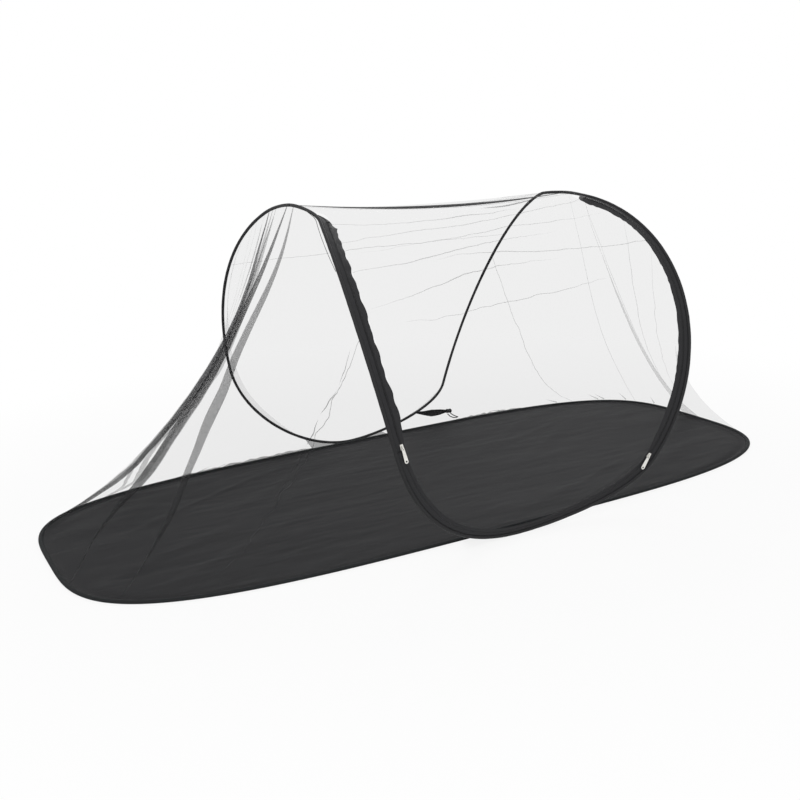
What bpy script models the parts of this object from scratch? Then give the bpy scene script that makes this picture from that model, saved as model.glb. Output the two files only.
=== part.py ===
"""Pop up mosquito net tent for one sleeper.

Two closed hoops of spring wire carry it. One lies flat and stretches the floor. The other is bent over into
two arches that touch the floor's edge at a front and a back dip. Netting closes the roof, the back and both
ends. The front is a net door that hangs from the ridge and closes with two zips, one down each arch.

Metres, +Z up, +X along the sleeper, front at -Y, origin on the ground under the middle of the floor.
"""
import math

import bmesh
import bpy
import numpy as np
from mathutils import Vector
from mathutils.geometry import tessellate_polygon

# Floor and arches
FLOOR_LENGTH = 2.0
FLOOR_WIDTH = 0.883
FLOOR_CORNER_POWER = 3.76
ARCH_HEIGHT = 0.785
DIP_FRONT_REACH = 0.045
DIP_BACK_REACH = 0.0135

# Places on the arches as shares of half the floor's length, half its width and the arch's height.
# Each zip runs on the circle through its three points: top, middle and low end.
LEFT_APEX_SHARES = (-0.313, 0.0, 1.0)
LEFT_ZIP_SHARES = ((-0.3175, -0.4056, 0.9638), (-0.359, -0.944, 0.725), (-0.336, -1.216, 0.357))
RIGHT_APEX_SHARES = (0.519, 0.0, 0.952)
RIGHT_ZIP_SHARES = ((0.512, -0.245, 0.944), (0.528, -1.103, 0.577), (0.386, -1.178, 0.1465))
APEX_PULL = 0.75
DIP_ALONG_SHARE = 0.004
BARREL_AXIS_SHARE = 0.306
CORNER_PULL_SHARES = {"front_left": 1.16, "front_right": 0.78, "back_left": 1.10, "back_right": 0.68}

# Fabric, netting and wire
GAP = 0.0003
WIRE_RADIUS = 0.0016
FERRULE_LENGTH = 0.030
FERRULE_WALL = 0.0006
WIRE_END_GAP = 0.0012
SLEEVE_RADIUS = 0.0042
SLEEVE_WALL = 0.0008
BINDING_HALF_WIDTH = 0.006
BINDING_HALF_HEIGHT = 0.0042
BINDING_WALL = 0.0008
SLOT_HALF = 0.0008
FABRIC_THICKNESS = 0.001
NET_THICKNESS = 0.0008
FLOOR_RISE_RUN = 0.006
FLOOR_RIPPLE = 0.0016
FLOOR_RIPPLE_COUNT = 7
FLOOR_RING_SHARES = (0.9, 0.66, 0.36)

# Zips: widths across the band, measured from the arch wire
TAPE_THICKNESS = 0.0006
OUTER_TAPE_WIDTH = 0.0115
INNER_TAPE_WIDTH = 0.010
CHAIN_WIDTH = 0.0056
CHAIN_HEIGHT = 0.0014
CHAIN_CROWN_SHARE = 0.5
SILL_WIDTH = 0.012
HEM_WIDTH = 0.009
RIDGE_TAPE_WIDTH = 0.010
HINGE_STANDOFF = 0.0010

# Slider, pull and stops
SLIDER_LENGTH = 0.0125
SLIDER_OUTLINE_SHARES = ((-0.5, 0.82), (-0.34, 0.88), (0.12, 0.92), (0.3, 1.0), (0.44, 1.0), (0.5, 0.9))
SLIDER_PLATE = 0.0011
SLIDER_CORNER = 0.0005
SLIDER_CLEARANCE = 0.0005
SLIDER_END_GAP = 0.0006
BRIDGE_LENGTH = 0.0086
BRIDGE_WIDTH = 0.0022
BRIDGE_THICKNESS = 0.0010
BRIDGE_ROOT = 0.0005
BAR_ROOM = 0.0012
BAR_HALF = 0.0007
PULL_LENGTH = 0.036
PULL_THICKNESS = 0.0012
PULL_NECK_WIDTH = 0.0064
PULL_END_WIDTH = 0.0095
PULL_HOLE_RADIUS = 0.0022
PULL_WINDOW_LENGTH = 0.0042
PULL_WINDOW_WIDTH = 0.0030
ROUND_SIDES = 12
STOP_LENGTH = 0.003
STOP_WALL = 0.0008

# Keeper that ties the folded tent together, hung between the back of the arch and the floor's edge
STRAP_STATION = 6
STRAP_WIDTH = 0.018
STRAP_NARROW_SHARE = 0.45
STRAP_THICKNESS = 0.0016
STRAP_STEPS = 6
TOGGLE_ALONG = 0.383
TOGGLE_BEYOND_FLOOR = 0.046
TOGGLE_HEIGHT = 0.027
TOGGLE_LENGTH = 0.020
TOGGLE_RADIUS = 0.0075
TOGGLE_SHARES = ((-0.5, 0.62), (-0.36, 0.95), (0.0, 0.86), (0.36, 1.0), (0.5, 0.66))
HOOK_RADIUS = 0.0016
HOOK_REACH = 0.032
# Shares of the hook's reach, from its seat under the toggle
HOOK_ROUTE_SHARES = (
    (-0.125, 0.0, 0.0),
    (0.0, -0.31, -0.23),
    (0.19, -0.67, -0.31),
    (0.375, -0.985, -0.25),
    (0.515, -0.985, -0.22),
    (0.485, -0.655, -0.22),
    (0.375, -0.31, -0.16),
    (0.22, 0.0, 0.0),
)

# Folds of the netting
ROOF_FOLD = 0.004
ROOF_FOLD_COUNT = 5
ROOF_SAG = 0.012
END_FOLD = 0.009
END_FOLD_COUNT = 7
HOOP_PULLS = {"left": (0.30, 0.08), "right": (0.22, 0.06)}

# Station counts
APEX_STEPS = 4
FRONT_ARC_STEPS = 26
BACK_ARC_STEPS = 12
CORNER_STEPS = 10
GUSSET_STEPS = 3
RIM_SIDE_STEPS = 25
WIRE_SIDES = 5
SLEEVE_SIDES = 6
END_NET_ROWS = 6
ROOF_NET_COLUMNS = 6
SMOOTH_ANGLE = math.radians(35)

X_AXIS = np.array((1.0, 0.0, 0.0))
Y_AXIS = np.array((0.0, 1.0, 0.0))
Z_AXIS = np.array((0.0, 0.0, 1.0))

COLOURS = {
    "floor_fabric": ((0.043, 0.043, 0.046), 0.55, 0.0),
    "binding": ((0.022, 0.022, 0.024), 0.6, 0.0),
    "wire": ((0.45, 0.45, 0.47), 0.3, 1.0),
    "net": ((0.02, 0.02, 0.022), 0.8, 0.0),
    "tape": ((0.025, 0.025, 0.027), 0.65, 0.0),
    "chain": ((0.018, 0.018, 0.02), 0.35, 0.0),
    "slider": ((0.72, 0.71, 0.69), 0.25, 1.0),
    "webbing": ((0.02, 0.02, 0.021), 0.75, 0.0),
    "hook": ((0.03, 0.03, 0.032), 0.4, 0.0),
}


def unit(vector):
    """The vector at length one."""
    vector = np.asarray(vector, dtype=float)
    return vector / np.linalg.norm(vector, axis=-1, keepdims=vector.ndim > 1)


def square_to(vector, tangent):
    """The part of a vector that is square to a tangent, at length one."""
    return unit(vector - np.dot(vector, tangent) * tangent)


def smooth_share(share):
    """Goes from 0 to 1 with level ends."""
    return share * share * (3.0 - 2.0 * share)


def at_shares(shares):
    """A point from its shares of half length, half width and arch height."""
    sizes = (FLOOR_LENGTH / 2, FLOOR_WIDTH / 2, ARCH_HEIGHT)
    return np.array([share * size for share, size in zip(shares, sizes)])


class Path:
    """Stations along a curve: point, direction across the band (side) and direction out of it (out)."""

    def __init__(self, points, sides, outs):
        self.points = np.array(points)
        self.sides = np.array(sides)
        self.outs = np.array(outs)

    def line(self, across, out=0.0):
        """The curve shifted across the band and out of it."""
        return self.points + across * self.sides + out * self.outs

    def part(self, first, last):
        """Stations first to last, both counted in."""
        stations = slice(first, last + 1)
        return Path(self.points[stations], self.sides[stations], self.outs[stations])

    def between(self, station, start, end):
        """Two stations inside one straight segment, at shares of that segment."""
        a, b = self.part(station, station), self.part(station + 1, station + 1)
        mix = [
            np.concatenate([p + (q - p) * start, p + (q - p) * end])
            for p, q in ((a.points, b.points), (a.sides, b.sides), (a.outs, b.outs))
        ]
        return Path(*mix)

    def reversed(self):
        """The same stations in the other order."""
        return Path(self.points[::-1], self.sides[::-1], self.outs[::-1])

    def then(self, other):
        """This path and another that starts at its last station."""
        return Path(
            np.concatenate([self.points, other.points[1:]]),
            np.concatenate([self.sides, other.sides[1:]]),
            np.concatenate([self.outs, other.outs[1:]]),
        )

    def trimmed(self, start, end):
        """The path with its first and last stations drawn in along the curve by two lengths."""
        points = self.points.copy()
        points[0] += start * unit(self.points[1] - self.points[0])
        points[-1] += end * unit(self.points[-2] - self.points[-1])
        return Path(points, self.sides, self.outs)

    def mirrored(self):
        """The path on the other side of the tent's long axis."""
        flip = np.array((1.0, -1.0, 1.0))
        return Path(self.points * flip, self.sides * flip, self.outs * flip)


class ZipArc:
    """The circle that one zip follows. Its slider turns about the same axis."""

    def __init__(self, point_shares, inward):
        top, middle, low = (at_shares(shares) for shares in point_shares)
        to_middle, to_low = middle - top, low - top
        normal = np.cross(to_middle, to_low)
        offset = np.cross(normal, to_middle) * to_low.dot(to_low)
        offset += np.cross(to_low, normal) * to_middle.dot(to_middle)
        self.centre = top + offset / (2.0 * normal.dot(normal))
        self.radius = float(np.linalg.norm(top - self.centre))
        turn_axis = unit(normal)
        self.radial = unit(top - self.centre)
        self.down = np.cross(turn_axis, self.radial)
        reach = low - self.centre
        self.sweep = math.atan2(reach.dot(self.down), reach.dot(self.radial)) % (2.0 * math.pi)
        self.axis = turn_axis * math.copysign(1.0, turn_axis.dot(inward))
        middle_out = unit(middle - self.centre)
        self.tilt = math.atan2(inward.dot(middle_out), inward.dot(self.axis))

    def frame(self, angle):
        """Point on the wire's line, tangent down the arch, side towards the door and outward direction."""
        radial = math.cos(angle) * self.radial + math.sin(angle) * self.down
        tangent = math.cos(angle) * self.down - math.sin(angle) * self.radial
        side = math.cos(self.tilt) * self.axis + math.sin(self.tilt) * radial
        out = math.cos(self.tilt) * radial - math.sin(self.tilt) * self.axis
        return self.centre + self.radius * radial, tangent, side, out


def blend_curve(start, start_way, end, end_way, pull, steps):
    """Points and tangents of a cubic from start to end that leaves and arrives in the given directions."""
    reach = np.linalg.norm(end - start) * pull
    points, tangents = [], []
    for step in range(steps + 1):
        s = step / steps
        points.append(
            (2 * s**3 - 3 * s**2 + 1) * start
            + (s**3 - 2 * s**2 + s) * reach * start_way
            + (3 * s**2 - 2 * s**3) * end
            + (s**3 - s**2) * reach * end_way
        )
        tangents.append(
            unit(
                6 * (s * s - s) * start
                + (3 * s * s - 4 * s + 1) * reach * start_way
                + 6 * (s - s * s) * end
                + (3 * s * s - 2 * s) * reach * end_way
            )
        )
    return points, tangents


def blended_path(points, tangents, first, last):
    """Stations whose side direction turns smoothly from the first to the last, kept square to the curve."""
    sides, outs = [], []
    count = len(points) - 1
    for index, tangent in enumerate(tangents):
        share = smooth_share(index / count)
        side = square_to((1.0 - share) * first[0] + share * last[0], tangent)
        out = (1.0 - share) * first[1] + share * last[1]
        out = out - np.dot(out, tangent) * tangent - np.dot(out, side) * side
        sides.append(side)
        outs.append(unit(out))
    return Path(points, sides, outs)


def arch_side(arc, apex, dip, inward, arc_steps, pull):
    """Half an arch on the front, from its apex down its zip's circle and round the corner to the dip."""
    top, top_way, top_side, top_out = arc.frame(0.0)
    low, low_way, low_side, low_out = arc.frame(arc.sweep)
    points, tangents = blend_curve(apex, -Y_AXIS, top, top_way, APEX_PULL, APEX_STEPS)
    bridge = blended_path(points, tangents, (inward, Z_AXIS), (top_side, top_out))
    frames = [arc.frame(arc.sweep * step / arc_steps) for step in range(arc_steps + 1)]
    leg = Path([f[0] for f in frames], [f[2] for f in frames], [f[3] for f in frames])
    axis_height = BARREL_AXIS_SHARE * ARCH_HEIGHT
    dip_out = unit(np.array((0.0, dip[1], dip[2] - axis_height)))
    dip_side = np.array((0.0, dip_out[2], -dip_out[1]))
    points, tangents = blend_curve(low, low_way, dip, inward, pull, CORNER_STEPS)
    corner = blended_path(points, tangents, (low_side, low_out), (dip_side, dip_out))
    return bridge.then(leg).then(corner)


LEFT_ARC = ZipArc(LEFT_ZIP_SHARES, X_AXIS)
RIGHT_ARC = ZipArc(RIGHT_ZIP_SHARES, -X_AXIS)
DIP_ALONG = DIP_ALONG_SHARE * FLOOR_LENGTH / 2
FRONT_DIP = np.array((DIP_ALONG, -(FLOOR_WIDTH / 2 + DIP_FRONT_REACH), SLEEVE_RADIUS))
BACK_DIP_AS_FRONT = np.array((DIP_ALONG, -(FLOOR_WIDTH / 2 + DIP_BACK_REACH), SLEEVE_RADIUS))
LEFT_APEX, RIGHT_APEX = at_shares(LEFT_APEX_SHARES), at_shares(RIGHT_APEX_SHARES)

FRONT_LEFT = arch_side(
    LEFT_ARC, LEFT_APEX, FRONT_DIP, X_AXIS, FRONT_ARC_STEPS, CORNER_PULL_SHARES["front_left"]
)
FRONT_RIGHT = arch_side(
    RIGHT_ARC, RIGHT_APEX, FRONT_DIP, -X_AXIS, FRONT_ARC_STEPS, CORNER_PULL_SHARES["front_right"]
)
BACK_LEFT = arch_side(
    LEFT_ARC, LEFT_APEX, BACK_DIP_AS_FRONT, X_AXIS, BACK_ARC_STEPS, CORNER_PULL_SHARES["back_left"]
).mirrored()
BACK_RIGHT = arch_side(
    RIGHT_ARC, RIGHT_APEX, BACK_DIP_AS_FRONT, -X_AXIS, BACK_ARC_STEPS, CORNER_PULL_SHARES["back_right"]
).mirrored()
FRONT_HOOP = FRONT_LEFT.then(FRONT_RIGHT.reversed())
BACK_HOOP = BACK_RIGHT.then(BACK_LEFT.reversed())

# Widths across the zip band
TAPE_START = SLEEVE_RADIUS - SLEEVE_WALL / 2
CHAIN_START = TAPE_START + OUTER_TAPE_WIDTH + GAP
CHAIN_MIDDLE = CHAIN_START + CHAIN_WIDTH / 2
SLIDER_HALF_WIDTH = CHAIN_WIDTH / 2 + SLIDER_CLEARANCE + SLIDER_PLATE
INNER_TAPE_START = CHAIN_MIDDLE + SLIDER_HALF_WIDTH + GAP
DOOR_NET_START = INNER_TAPE_START + INNER_TAPE_WIDTH + GAP
HEM_START = TAPE_START + SILL_WIDTH + GAP
HEM_NET_START = HEM_START + HEM_WIDTH + GAP
ZIP_TOP = APEX_STEPS - 1
ZIP_ARC_TOP = APEX_STEPS
ZIP_LOW = APEX_STEPS + FRONT_ARC_STEPS
DIP = ZIP_LOW + CORNER_STEPS


def rim_point(angle):
    """A point of the floor's outline, a rectangle with full round corners."""
    power = 2.0 / FLOOR_CORNER_POWER
    c, s = math.cos(angle), math.sin(angle)
    return np.array(
        (
            math.copysign(abs(c) ** power, c) * FLOOR_LENGTH / 2,
            math.copysign(abs(s) ** power, s) * FLOOR_WIDTH / 2,
            BINDING_HALF_HEIGHT,
        )
    )


def rim_end(cut):
    """The outline's left end from the back cut round to the front cut, closer where it curves more."""
    fine = [rim_point(math.radians(90.0 + 180.0 * step / 720)) for step in range(721)]
    fine = np.array([point for point in fine if point[0] < -cut])
    fine[0][0] = fine[-1][0] = -cut
    steps = np.diff(fine, axis=0)
    lengths = np.linalg.norm(steps, axis=1)
    headings = np.unwrap(np.arctan2(steps[:, 1], steps[:, 0]))
    turns = np.abs(np.gradient(headings))
    measure = lengths / lengths.sum() + turns / turns.sum()
    along = np.concatenate([[0.0], np.cumsum(measure)])
    wanted = np.linspace(0.0, along[-1], RIM_SIDE_STEPS + 1)
    return np.stack([np.interp(wanted, along, fine[:, axis]) for axis in range(3)], axis=1)


def gusset_cut():
    """Half the length along the floor's edge that the gussets take, from the arch's own corner stations."""
    inner = CORNER_STEPS - GUSSET_STEPS
    corners = (FRONT_LEFT, FRONT_RIGHT, BACK_LEFT, BACK_RIGHT)
    firsts = (ZIP_LOW, ZIP_LOW, APEX_STEPS + BACK_ARC_STEPS, APEX_STEPS + BACK_ARC_STEPS)
    reaches = [abs(path.points[first + inner][0]) for path, first in zip(corners, firsts)]
    return sum(reaches) / len(reaches)


CUT = gusset_cut()
LEFT_RIM = rim_end(CUT)
RIGHT_RIM = (LEFT_RIM * np.array((-1.0, 1.0, 1.0)))[::-1]


def rim_path():
    """The whole floor outline as a closed path, side pointing in and out pointing up."""

    def straight(start, end):
        return [start + (end - start) * step / GUSSET_STEPS for step in range(1, GUSSET_STEPS)]

    points = list(LEFT_RIM) + straight(LEFT_RIM[-1], RIGHT_RIM[0])
    points += list(RIGHT_RIM) + straight(RIGHT_RIM[-1], LEFT_RIM[0])
    points = np.array(points)
    around = np.roll(points, -1, axis=0) - np.roll(points, 1, axis=0)
    sides = unit(np.cross(np.tile(Z_AXIS, (len(points), 1)), unit(around)))
    return Path(points, sides, np.tile(Z_AXIS, (len(points), 1)))


RIM = rim_path()


def make_material(name, look):
    """A plain Principled material."""
    colour, roughness, metallic = COLOURS[look]
    material = bpy.data.materials.new(name)
    material.use_nodes = True
    shader = material.node_tree.nodes["Principled BSDF"]
    shader.inputs["Base Color"].default_value = (*colour, 1.0)
    shader.inputs["Roughness"].default_value = roughness
    shader.inputs["Metallic"].default_value = metallic
    material.diffuse_color = (*colour, 1.0)
    return material


def add_piece(name, vertices, faces, look, origin=(0.0, 0.0, 0.0)):
    """One named solid, with its object's origin at the given point."""
    origin = np.asarray(origin, dtype=float)
    mesh = bpy.data.meshes.new(name)
    mesh.from_pydata([tuple(np.asarray(v, dtype=float) - origin) for v in vertices], [], faces)
    work = bmesh.new()
    work.from_mesh(mesh)
    bmesh.ops.recalc_face_normals(work, faces=work.faces)
    if work.calc_volume(signed=True) < 0.0:
        bmesh.ops.reverse_faces(work, faces=work.faces)
    work.to_mesh(mesh)
    work.free()
    mesh.materials.append(make_material(name, look))
    mesh.shade_smooth()
    mesh.set_sharp_from_angle(angle=SMOOTH_ANGLE)
    piece = bpy.data.objects.new(name, mesh)
    piece.location = origin
    bpy.context.collection.objects.link(piece)
    return piece


def swept(path, section, closed=False):
    """Vertices and faces of a section of across and out pairs, or one section per station, along a path."""
    count = len(path.points)
    sections = section if isinstance(section[0], list) else [section] * count
    corners = len(sections[0])
    vertices = []
    for point, side, out, outline in zip(path.points, path.sides, path.outs, sections):
        vertices += [point + across * side + up * out for across, up in outline]
    faces = []
    for i in range(count if closed else count - 1):
        a, b = i * corners, (i + 1) % count * corners
        for j in range(corners):
            k = (j + 1) % corners
            faces.append((a + j, a + k, b + k, b + j))
    if not closed:
        faces.append(tuple(range(corners)))
        faces.append(tuple((count - 1) * corners + j for j in range(corners)))
    return vertices, faces


def round_section(radius, sides, across=0.0):
    """A round section as a polygon."""
    turns = [2.0 * math.pi * side / sides for side in range(sides)]
    return [(across + radius * math.cos(turn), radius * math.sin(turn)) for turn in turns]


def slotted_section(half_width, half_height, wall, slot_half):
    """A folded tape's section: an oval ring open on its side, where what it holds goes in."""
    def ring(width, height):
        first = math.asin(slot_half / height)
        span = 2.0 * math.pi - 2.0 * first
        turns = [first + span * side / (SLEEVE_SIDES - 1) for side in range(SLEEVE_SIDES)]
        return [(width * math.cos(turn), height * math.sin(turn)) for turn in turns]

    outer = ring(half_width, half_height)
    return outer + ring(half_width - wall, half_height - wall)[::-1]


def thin_solid(upper, lower):
    """Vertices and faces of a closed sheet between two grids, both cut along the same diagonals."""
    rows, columns = upper.shape[:2]
    vertices = list(upper.reshape(-1, 3)) + list(lower.reshape(-1, 3))
    under = rows * columns
    faces = []
    for r in range(rows - 1):
        for c in range(columns - 1):
            a, b = r * columns + c, r * columns + c + 1
            d, e = a + columns, b + columns
            faces += [(a, b, e), (a, e, d)]
            faces += [(under + e, under + b, under + a), (under + d, under + e, under + a)]
    edge = [c for c in range(columns)]
    edge += [r * columns + columns - 1 for r in range(1, rows)]
    edge += [(rows - 1) * columns + c for c in range(columns - 2, -1, -1)]
    edge += [r * columns for r in range(rows - 2, 0, -1)]
    for a, b in zip(edge, edge[1:] + edge[:1]):
        faces.append((b, a, under + a, under + b))
    return vertices, faces


def surface_normals(grid):
    """Unit normals at a grid's points."""
    along = np.gradient(grid, axis=0)
    across = np.gradient(grid, axis=1)
    return unit(np.cross(along, across).reshape(-1, 3)).reshape(grid.shape)


def sheet(grid, thickness):
    """Vertices and faces of a thin closed sheet about a grid of points."""
    lift = thickness / 2 * surface_normals(grid)
    return thin_solid(grid + lift, grid - lift)


def band(path, start, end, thickness):
    """Vertices and faces of a flat tape along a path, from one distance across it to another."""
    grid = np.stack([path.line(start), path.line(end)])
    lift = thickness / 2 * path.outs
    return thin_solid(grid + lift, grid - lift)


def cut_loop(path, segment):
    """A closed path opened in the middle of one of its straight segments, for a wire's two ends."""
    order = np.roll(np.arange(len(path.points)), -(segment + 1))
    first, last = order[0], order[-1]
    middle = (path.points[first] + path.points[last]) / 2
    way = unit(path.points[first] - path.points[last])
    points = np.concatenate(
        [[middle + way * WIRE_END_GAP / 2], path.points[order], [middle - way * WIRE_END_GAP / 2]]
    )
    ends = [first, *order, last]
    return Path(points, path.sides[ends], path.outs[ends]), middle, way


def add_wire_hoop(name, path, segment):
    """A hoop of spring wire with its two ends in a crimped ferrule."""
    opened, middle, way = cut_loop(path, segment)
    add_piece(name + "_wire", *swept(opened, round_section(WIRE_RADIUS, WIRE_SIDES)), "wire")
    side = square_to(path.sides[segment], way)
    out = np.cross(way, side)
    bore = WIRE_RADIUS + GAP
    profile = [(bore, -1), (bore + FERRULE_WALL, -1), (bore + FERRULE_WALL, 1), (bore, 1)]
    vertices, faces = [], []
    sides = 2 * WIRE_SIDES
    for turn in range(sides):
        angle = 2.0 * math.pi * turn / sides
        ray = math.cos(angle) * side + math.sin(angle) * out
        vertices += [middle + radius * ray + end * way * FERRULE_LENGTH / 2 for radius, end in profile]
    corners = len(profile)
    for turn in range(sides):
        a, b = turn * corners, (turn + 1) % sides * corners
        for j in range(corners):
            k = (j + 1) % corners
            faces.append((a + j, a + k, b + k, b + j))
    add_piece(name + "_ferrule", vertices, faces, "wire")


def add_hoops():
    """Both wire hoops and the folded tapes that they run in."""
    loop = FRONT_HOOP.then(BACK_HOOP)
    loop = loop.part(0, len(loop.points) - 2)
    back_dip = len(FRONT_HOOP.points) - 1 + APEX_STEPS + BACK_ARC_STEPS + CORNER_STEPS
    add_wire_hoop("arch_hoop", loop, back_dip - CORNER_STEPS // 2)
    add_wire_hoop("floor_hoop", RIM, len(LEFT_RIM) // 4)
    sleeve = slotted_section(SLEEVE_RADIUS, SLEEVE_RADIUS, SLEEVE_WALL, SLOT_HALF)
    add_piece("arch_sleeve_front", *swept(FRONT_HOOP.trimmed(GAP / 2, GAP / 2), sleeve), "binding")
    add_piece("arch_sleeve_back", *swept(BACK_HOOP.trimmed(GAP / 2, GAP / 2), sleeve), "binding")
    binding = slotted_section(BINDING_HALF_WIDTH, BINDING_HALF_HEIGHT, BINDING_WALL, SLOT_HALF)
    add_piece("floor_binding", *swept(RIM, binding, closed=True), "binding")


def add_floor():
    """The floor sheet: flat on the ground, rising at its edge into the slot of its binding."""
    half = FABRIC_THICKNESS / 2
    edge = RIM.line(BINDING_HALF_WIDTH - BINDING_WALL / 2)
    foot = RIM.line(BINDING_HALF_WIDTH + FLOOR_RISE_RUN)
    foot[:, 2] = 0.0
    count = len(edge)
    lift = half * Z_AXIS
    vertices = list(edge - lift) + list(foot)
    vertices += list(edge + lift) + list(foot + 2 * lift)
    rings = len(FLOOR_RING_SHARES)
    for ring, share in enumerate(FLOOR_RING_SHARES):
        for index, point in enumerate(foot):
            turn = 2.0 * math.pi * (FLOOR_RIPPLE_COUNT * index / count + ring / rings)
            wave = math.sin(turn) * math.sin(math.pi * share)
            height = FABRIC_THICKNESS + FLOOR_RIPPLE / 2 * (1.0 + wave) * (ring > 0)
            vertices.append((point[0] * share, point[1] * share, height))
    vertices.append((0.0, 0.0, FABRIC_THICKNESS))
    centre = len(vertices) - 1
    faces = [tuple(range(2 * count - 1, count - 1, -1))]
    for i in range(count):
        j = (i + 1) % count
        faces.append((i, j, count + j, count + i))
        faces.append((i, 2 * count + i, 2 * count + j, j))
        for ring in range(2, rings + 3):
            a, b = ring * count, (ring + 1) * count
            faces.append((a + i, b + i, b + j, a + j))
        last = (rings + 3) * count
        faces.append((last + i, centre, last + j))
    add_piece("floor_sheet", vertices, faces, "floor_fabric")


def net_foot(point):
    """Where netting stands on the binding, over a point of the floor's outline."""
    return point + (BINDING_HALF_HEIGHT + NET_THICKNESS / 2 + GAP) * Z_AXIS


def gusset_foot(point, target):
    """Where a gusset starts on the binding's round side, towards the arch."""
    way = unit((target - point) * (1.0 - X_AXIS))
    reach = 1.0 / math.hypot(way[1] / BINDING_HALF_WIDTH, way[2] / BINDING_HALF_HEIGHT)
    return point + (reach + 2 * GAP) * way


def end_columns(front, back, front_arc_steps):
    """Stations up one end's arch, from its back gusset over the apex to its front gusset."""
    inner = CORNER_STEPS - GUSSET_STEPS
    down_back = back.part(0, APEX_STEPS + BACK_ARC_STEPS + inner)
    down_front = front.part(0, APEX_STEPS + front_arc_steps + inner)
    return down_back.reversed().then(down_front)


def halved_rim(rim, count):
    """Points spread along the outline's straight segments, so that netting meets it without a gap."""
    places = np.linspace(0.0, len(rim) - 1, count)
    index = np.arange(len(rim))
    return np.stack([np.interp(places, index, rim[:, axis]) for axis in range(3)], axis=1)


def relaxed(grid, hoop_pull):
    """A net in balance between its pull from row to row and its pull round the arch, edges held.

    The pull round the arch has a value at the floor and a value at the arch.
    """
    rows, columns = grid.shape[:2]
    inside = (rows - 2) * (columns - 2)
    pulls = np.zeros((inside, inside))
    held = np.zeros((inside, 3))
    for r in range(1, rows - 1):
        around = np.interp(r, (0, rows - 1), hoop_pull) * (columns / rows) ** 2
        for c in range(1, columns - 1):
            own = (r - 1) * (columns - 2) + c - 1
            pulls[own, own] = 2.0 + 2.0 * around
            for dr, dc, pull in ((-1, 0, 1.0), (1, 0, 1.0), (0, -1, around), (0, 1, around)):
                nr, nc = r + dr, c + dc
                if 0 < nr < rows - 1 and 0 < nc < columns - 1:
                    pulls[own, (nr - 1) * (columns - 2) + nc - 1] = -pull
                else:
                    held[own] += pull * grid[nr, nc]
    grid[1:-1, 1:-1] = np.linalg.solve(pulls, held).reshape(rows - 2, columns - 2, 3)
    return grid


def folded(grid, amount, count):
    """A net with its main folds, which run from row to row and fade out at its edges."""
    rows, columns = grid.shape[:2]
    row_share = np.linspace(0.0, 1.0, rows)[:, None]
    column_share = np.linspace(0.0, 1.0, columns)[None, :]
    fade = np.sin(math.pi * row_share) * np.sin(math.pi * column_share)
    wave = np.sin(2.0 * math.pi * count * column_share)
    return grid + (amount * fade * wave)[:, :, None] * surface_normals(grid)


def add_end_net(end, front, back, rim):
    """The netting of one end, from the floor's edge up to the arch."""
    arch = end_columns(front, back, FRONT_ARC_STEPS)
    feet = net_foot(halved_rim(rim, len(arch.points)))
    tangents = unit(np.gradient(arch.points, axis=0))
    tops = []
    for point, foot, tangent in zip(arch.points, feet, tangents):
        tops.append(point + (SLEEVE_RADIUS + 2 * GAP) * square_to(foot - point, tangent))
    shares = np.linspace(0.0, 1.0, END_NET_ROWS + 1)[:, None, None]
    grid = (1.0 - shares) * feet[None] + shares * np.array(tops)[None]
    grid = folded(relaxed(grid, HOOP_PULLS[end]), END_FOLD, END_FOLD_COUNT)
    add_piece(end + "_end_net", *sheet(grid, NET_THICKNESS), "net")


def ruled_net(left_edge, right_edge, fold, fold_count):
    """Netting stretched straight between two edges, with a little sag and folds that run along it."""
    shares = np.linspace(0.0, 1.0, ROOF_NET_COLUMNS + 1)[:, None, None]
    grid = (1.0 - shares) * left_edge[None] + shares * right_edge[None]
    rows = np.linspace(0.0, 1.0, left_edge.shape[0])
    slack = ROOF_SAG * np.sin(math.pi * shares[:, :, 0]) * np.sin(math.pi * rows)[None, :]
    middle = np.array((0.0, 0.0, BARREL_AXIS_SHARE * ARCH_HEIGHT))
    inward = middle - grid
    inward[:, :, 0] = 0.0
    inward = unit(inward.reshape(-1, 3)).reshape(grid.shape)
    wave = fold * np.sin(math.pi * shares[:, :, 0]) * np.sin(2.0 * math.pi * fold_count * rows)[None, :]
    return grid + (slack + wave)[:, :, None] * inward


def ridge_end(edge, offset):
    """Puts the first point of a net's edge beside the ridge line, at a distance on the net's own side of it."""
    edge = edge.copy()
    share = (edge[0][0] - LEFT_APEX[0]) / (RIGHT_APEX[0] - LEFT_APEX[0])
    edge[0] = LEFT_APEX + share * (RIGHT_APEX - LEFT_APEX) + math.copysign(offset, edge[1][1]) * Y_AXIS
    return edge


def add_roof():
    """The back half of the roof, and the tape along the ridge that it shares with the door."""
    low = APEX_STEPS + BACK_ARC_STEPS + CORNER_STEPS - 1
    start = RIDGE_TAPE_WIDTH / 2 + GAP
    edges = [ridge_end(path.part(0, low).line(TAPE_START), start) for path in (BACK_LEFT, BACK_RIGHT)]
    grid = ruled_net(*edges, ROOF_FOLD, ROOF_FOLD_COUNT)
    add_piece("roof_net", *sheet(grid, NET_THICKNESS), "net")
    left, right = LEFT_APEX + SLEEVE_RADIUS * X_AXIS, RIGHT_APEX - SLEEVE_RADIUS * X_AXIS
    way = unit(right - left)
    ends = [left + GAP * way, right - GAP * way]
    ups = [np.cross(way, Y_AXIS)] * 2
    ridge = Path(ends, [-Y_AXIS] * 2, ups)
    half = RIDGE_TAPE_WIDTH / 2
    add_piece("ridge_tape", *band(ridge, -half, half, TAPE_THICKNESS), "tape")


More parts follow.
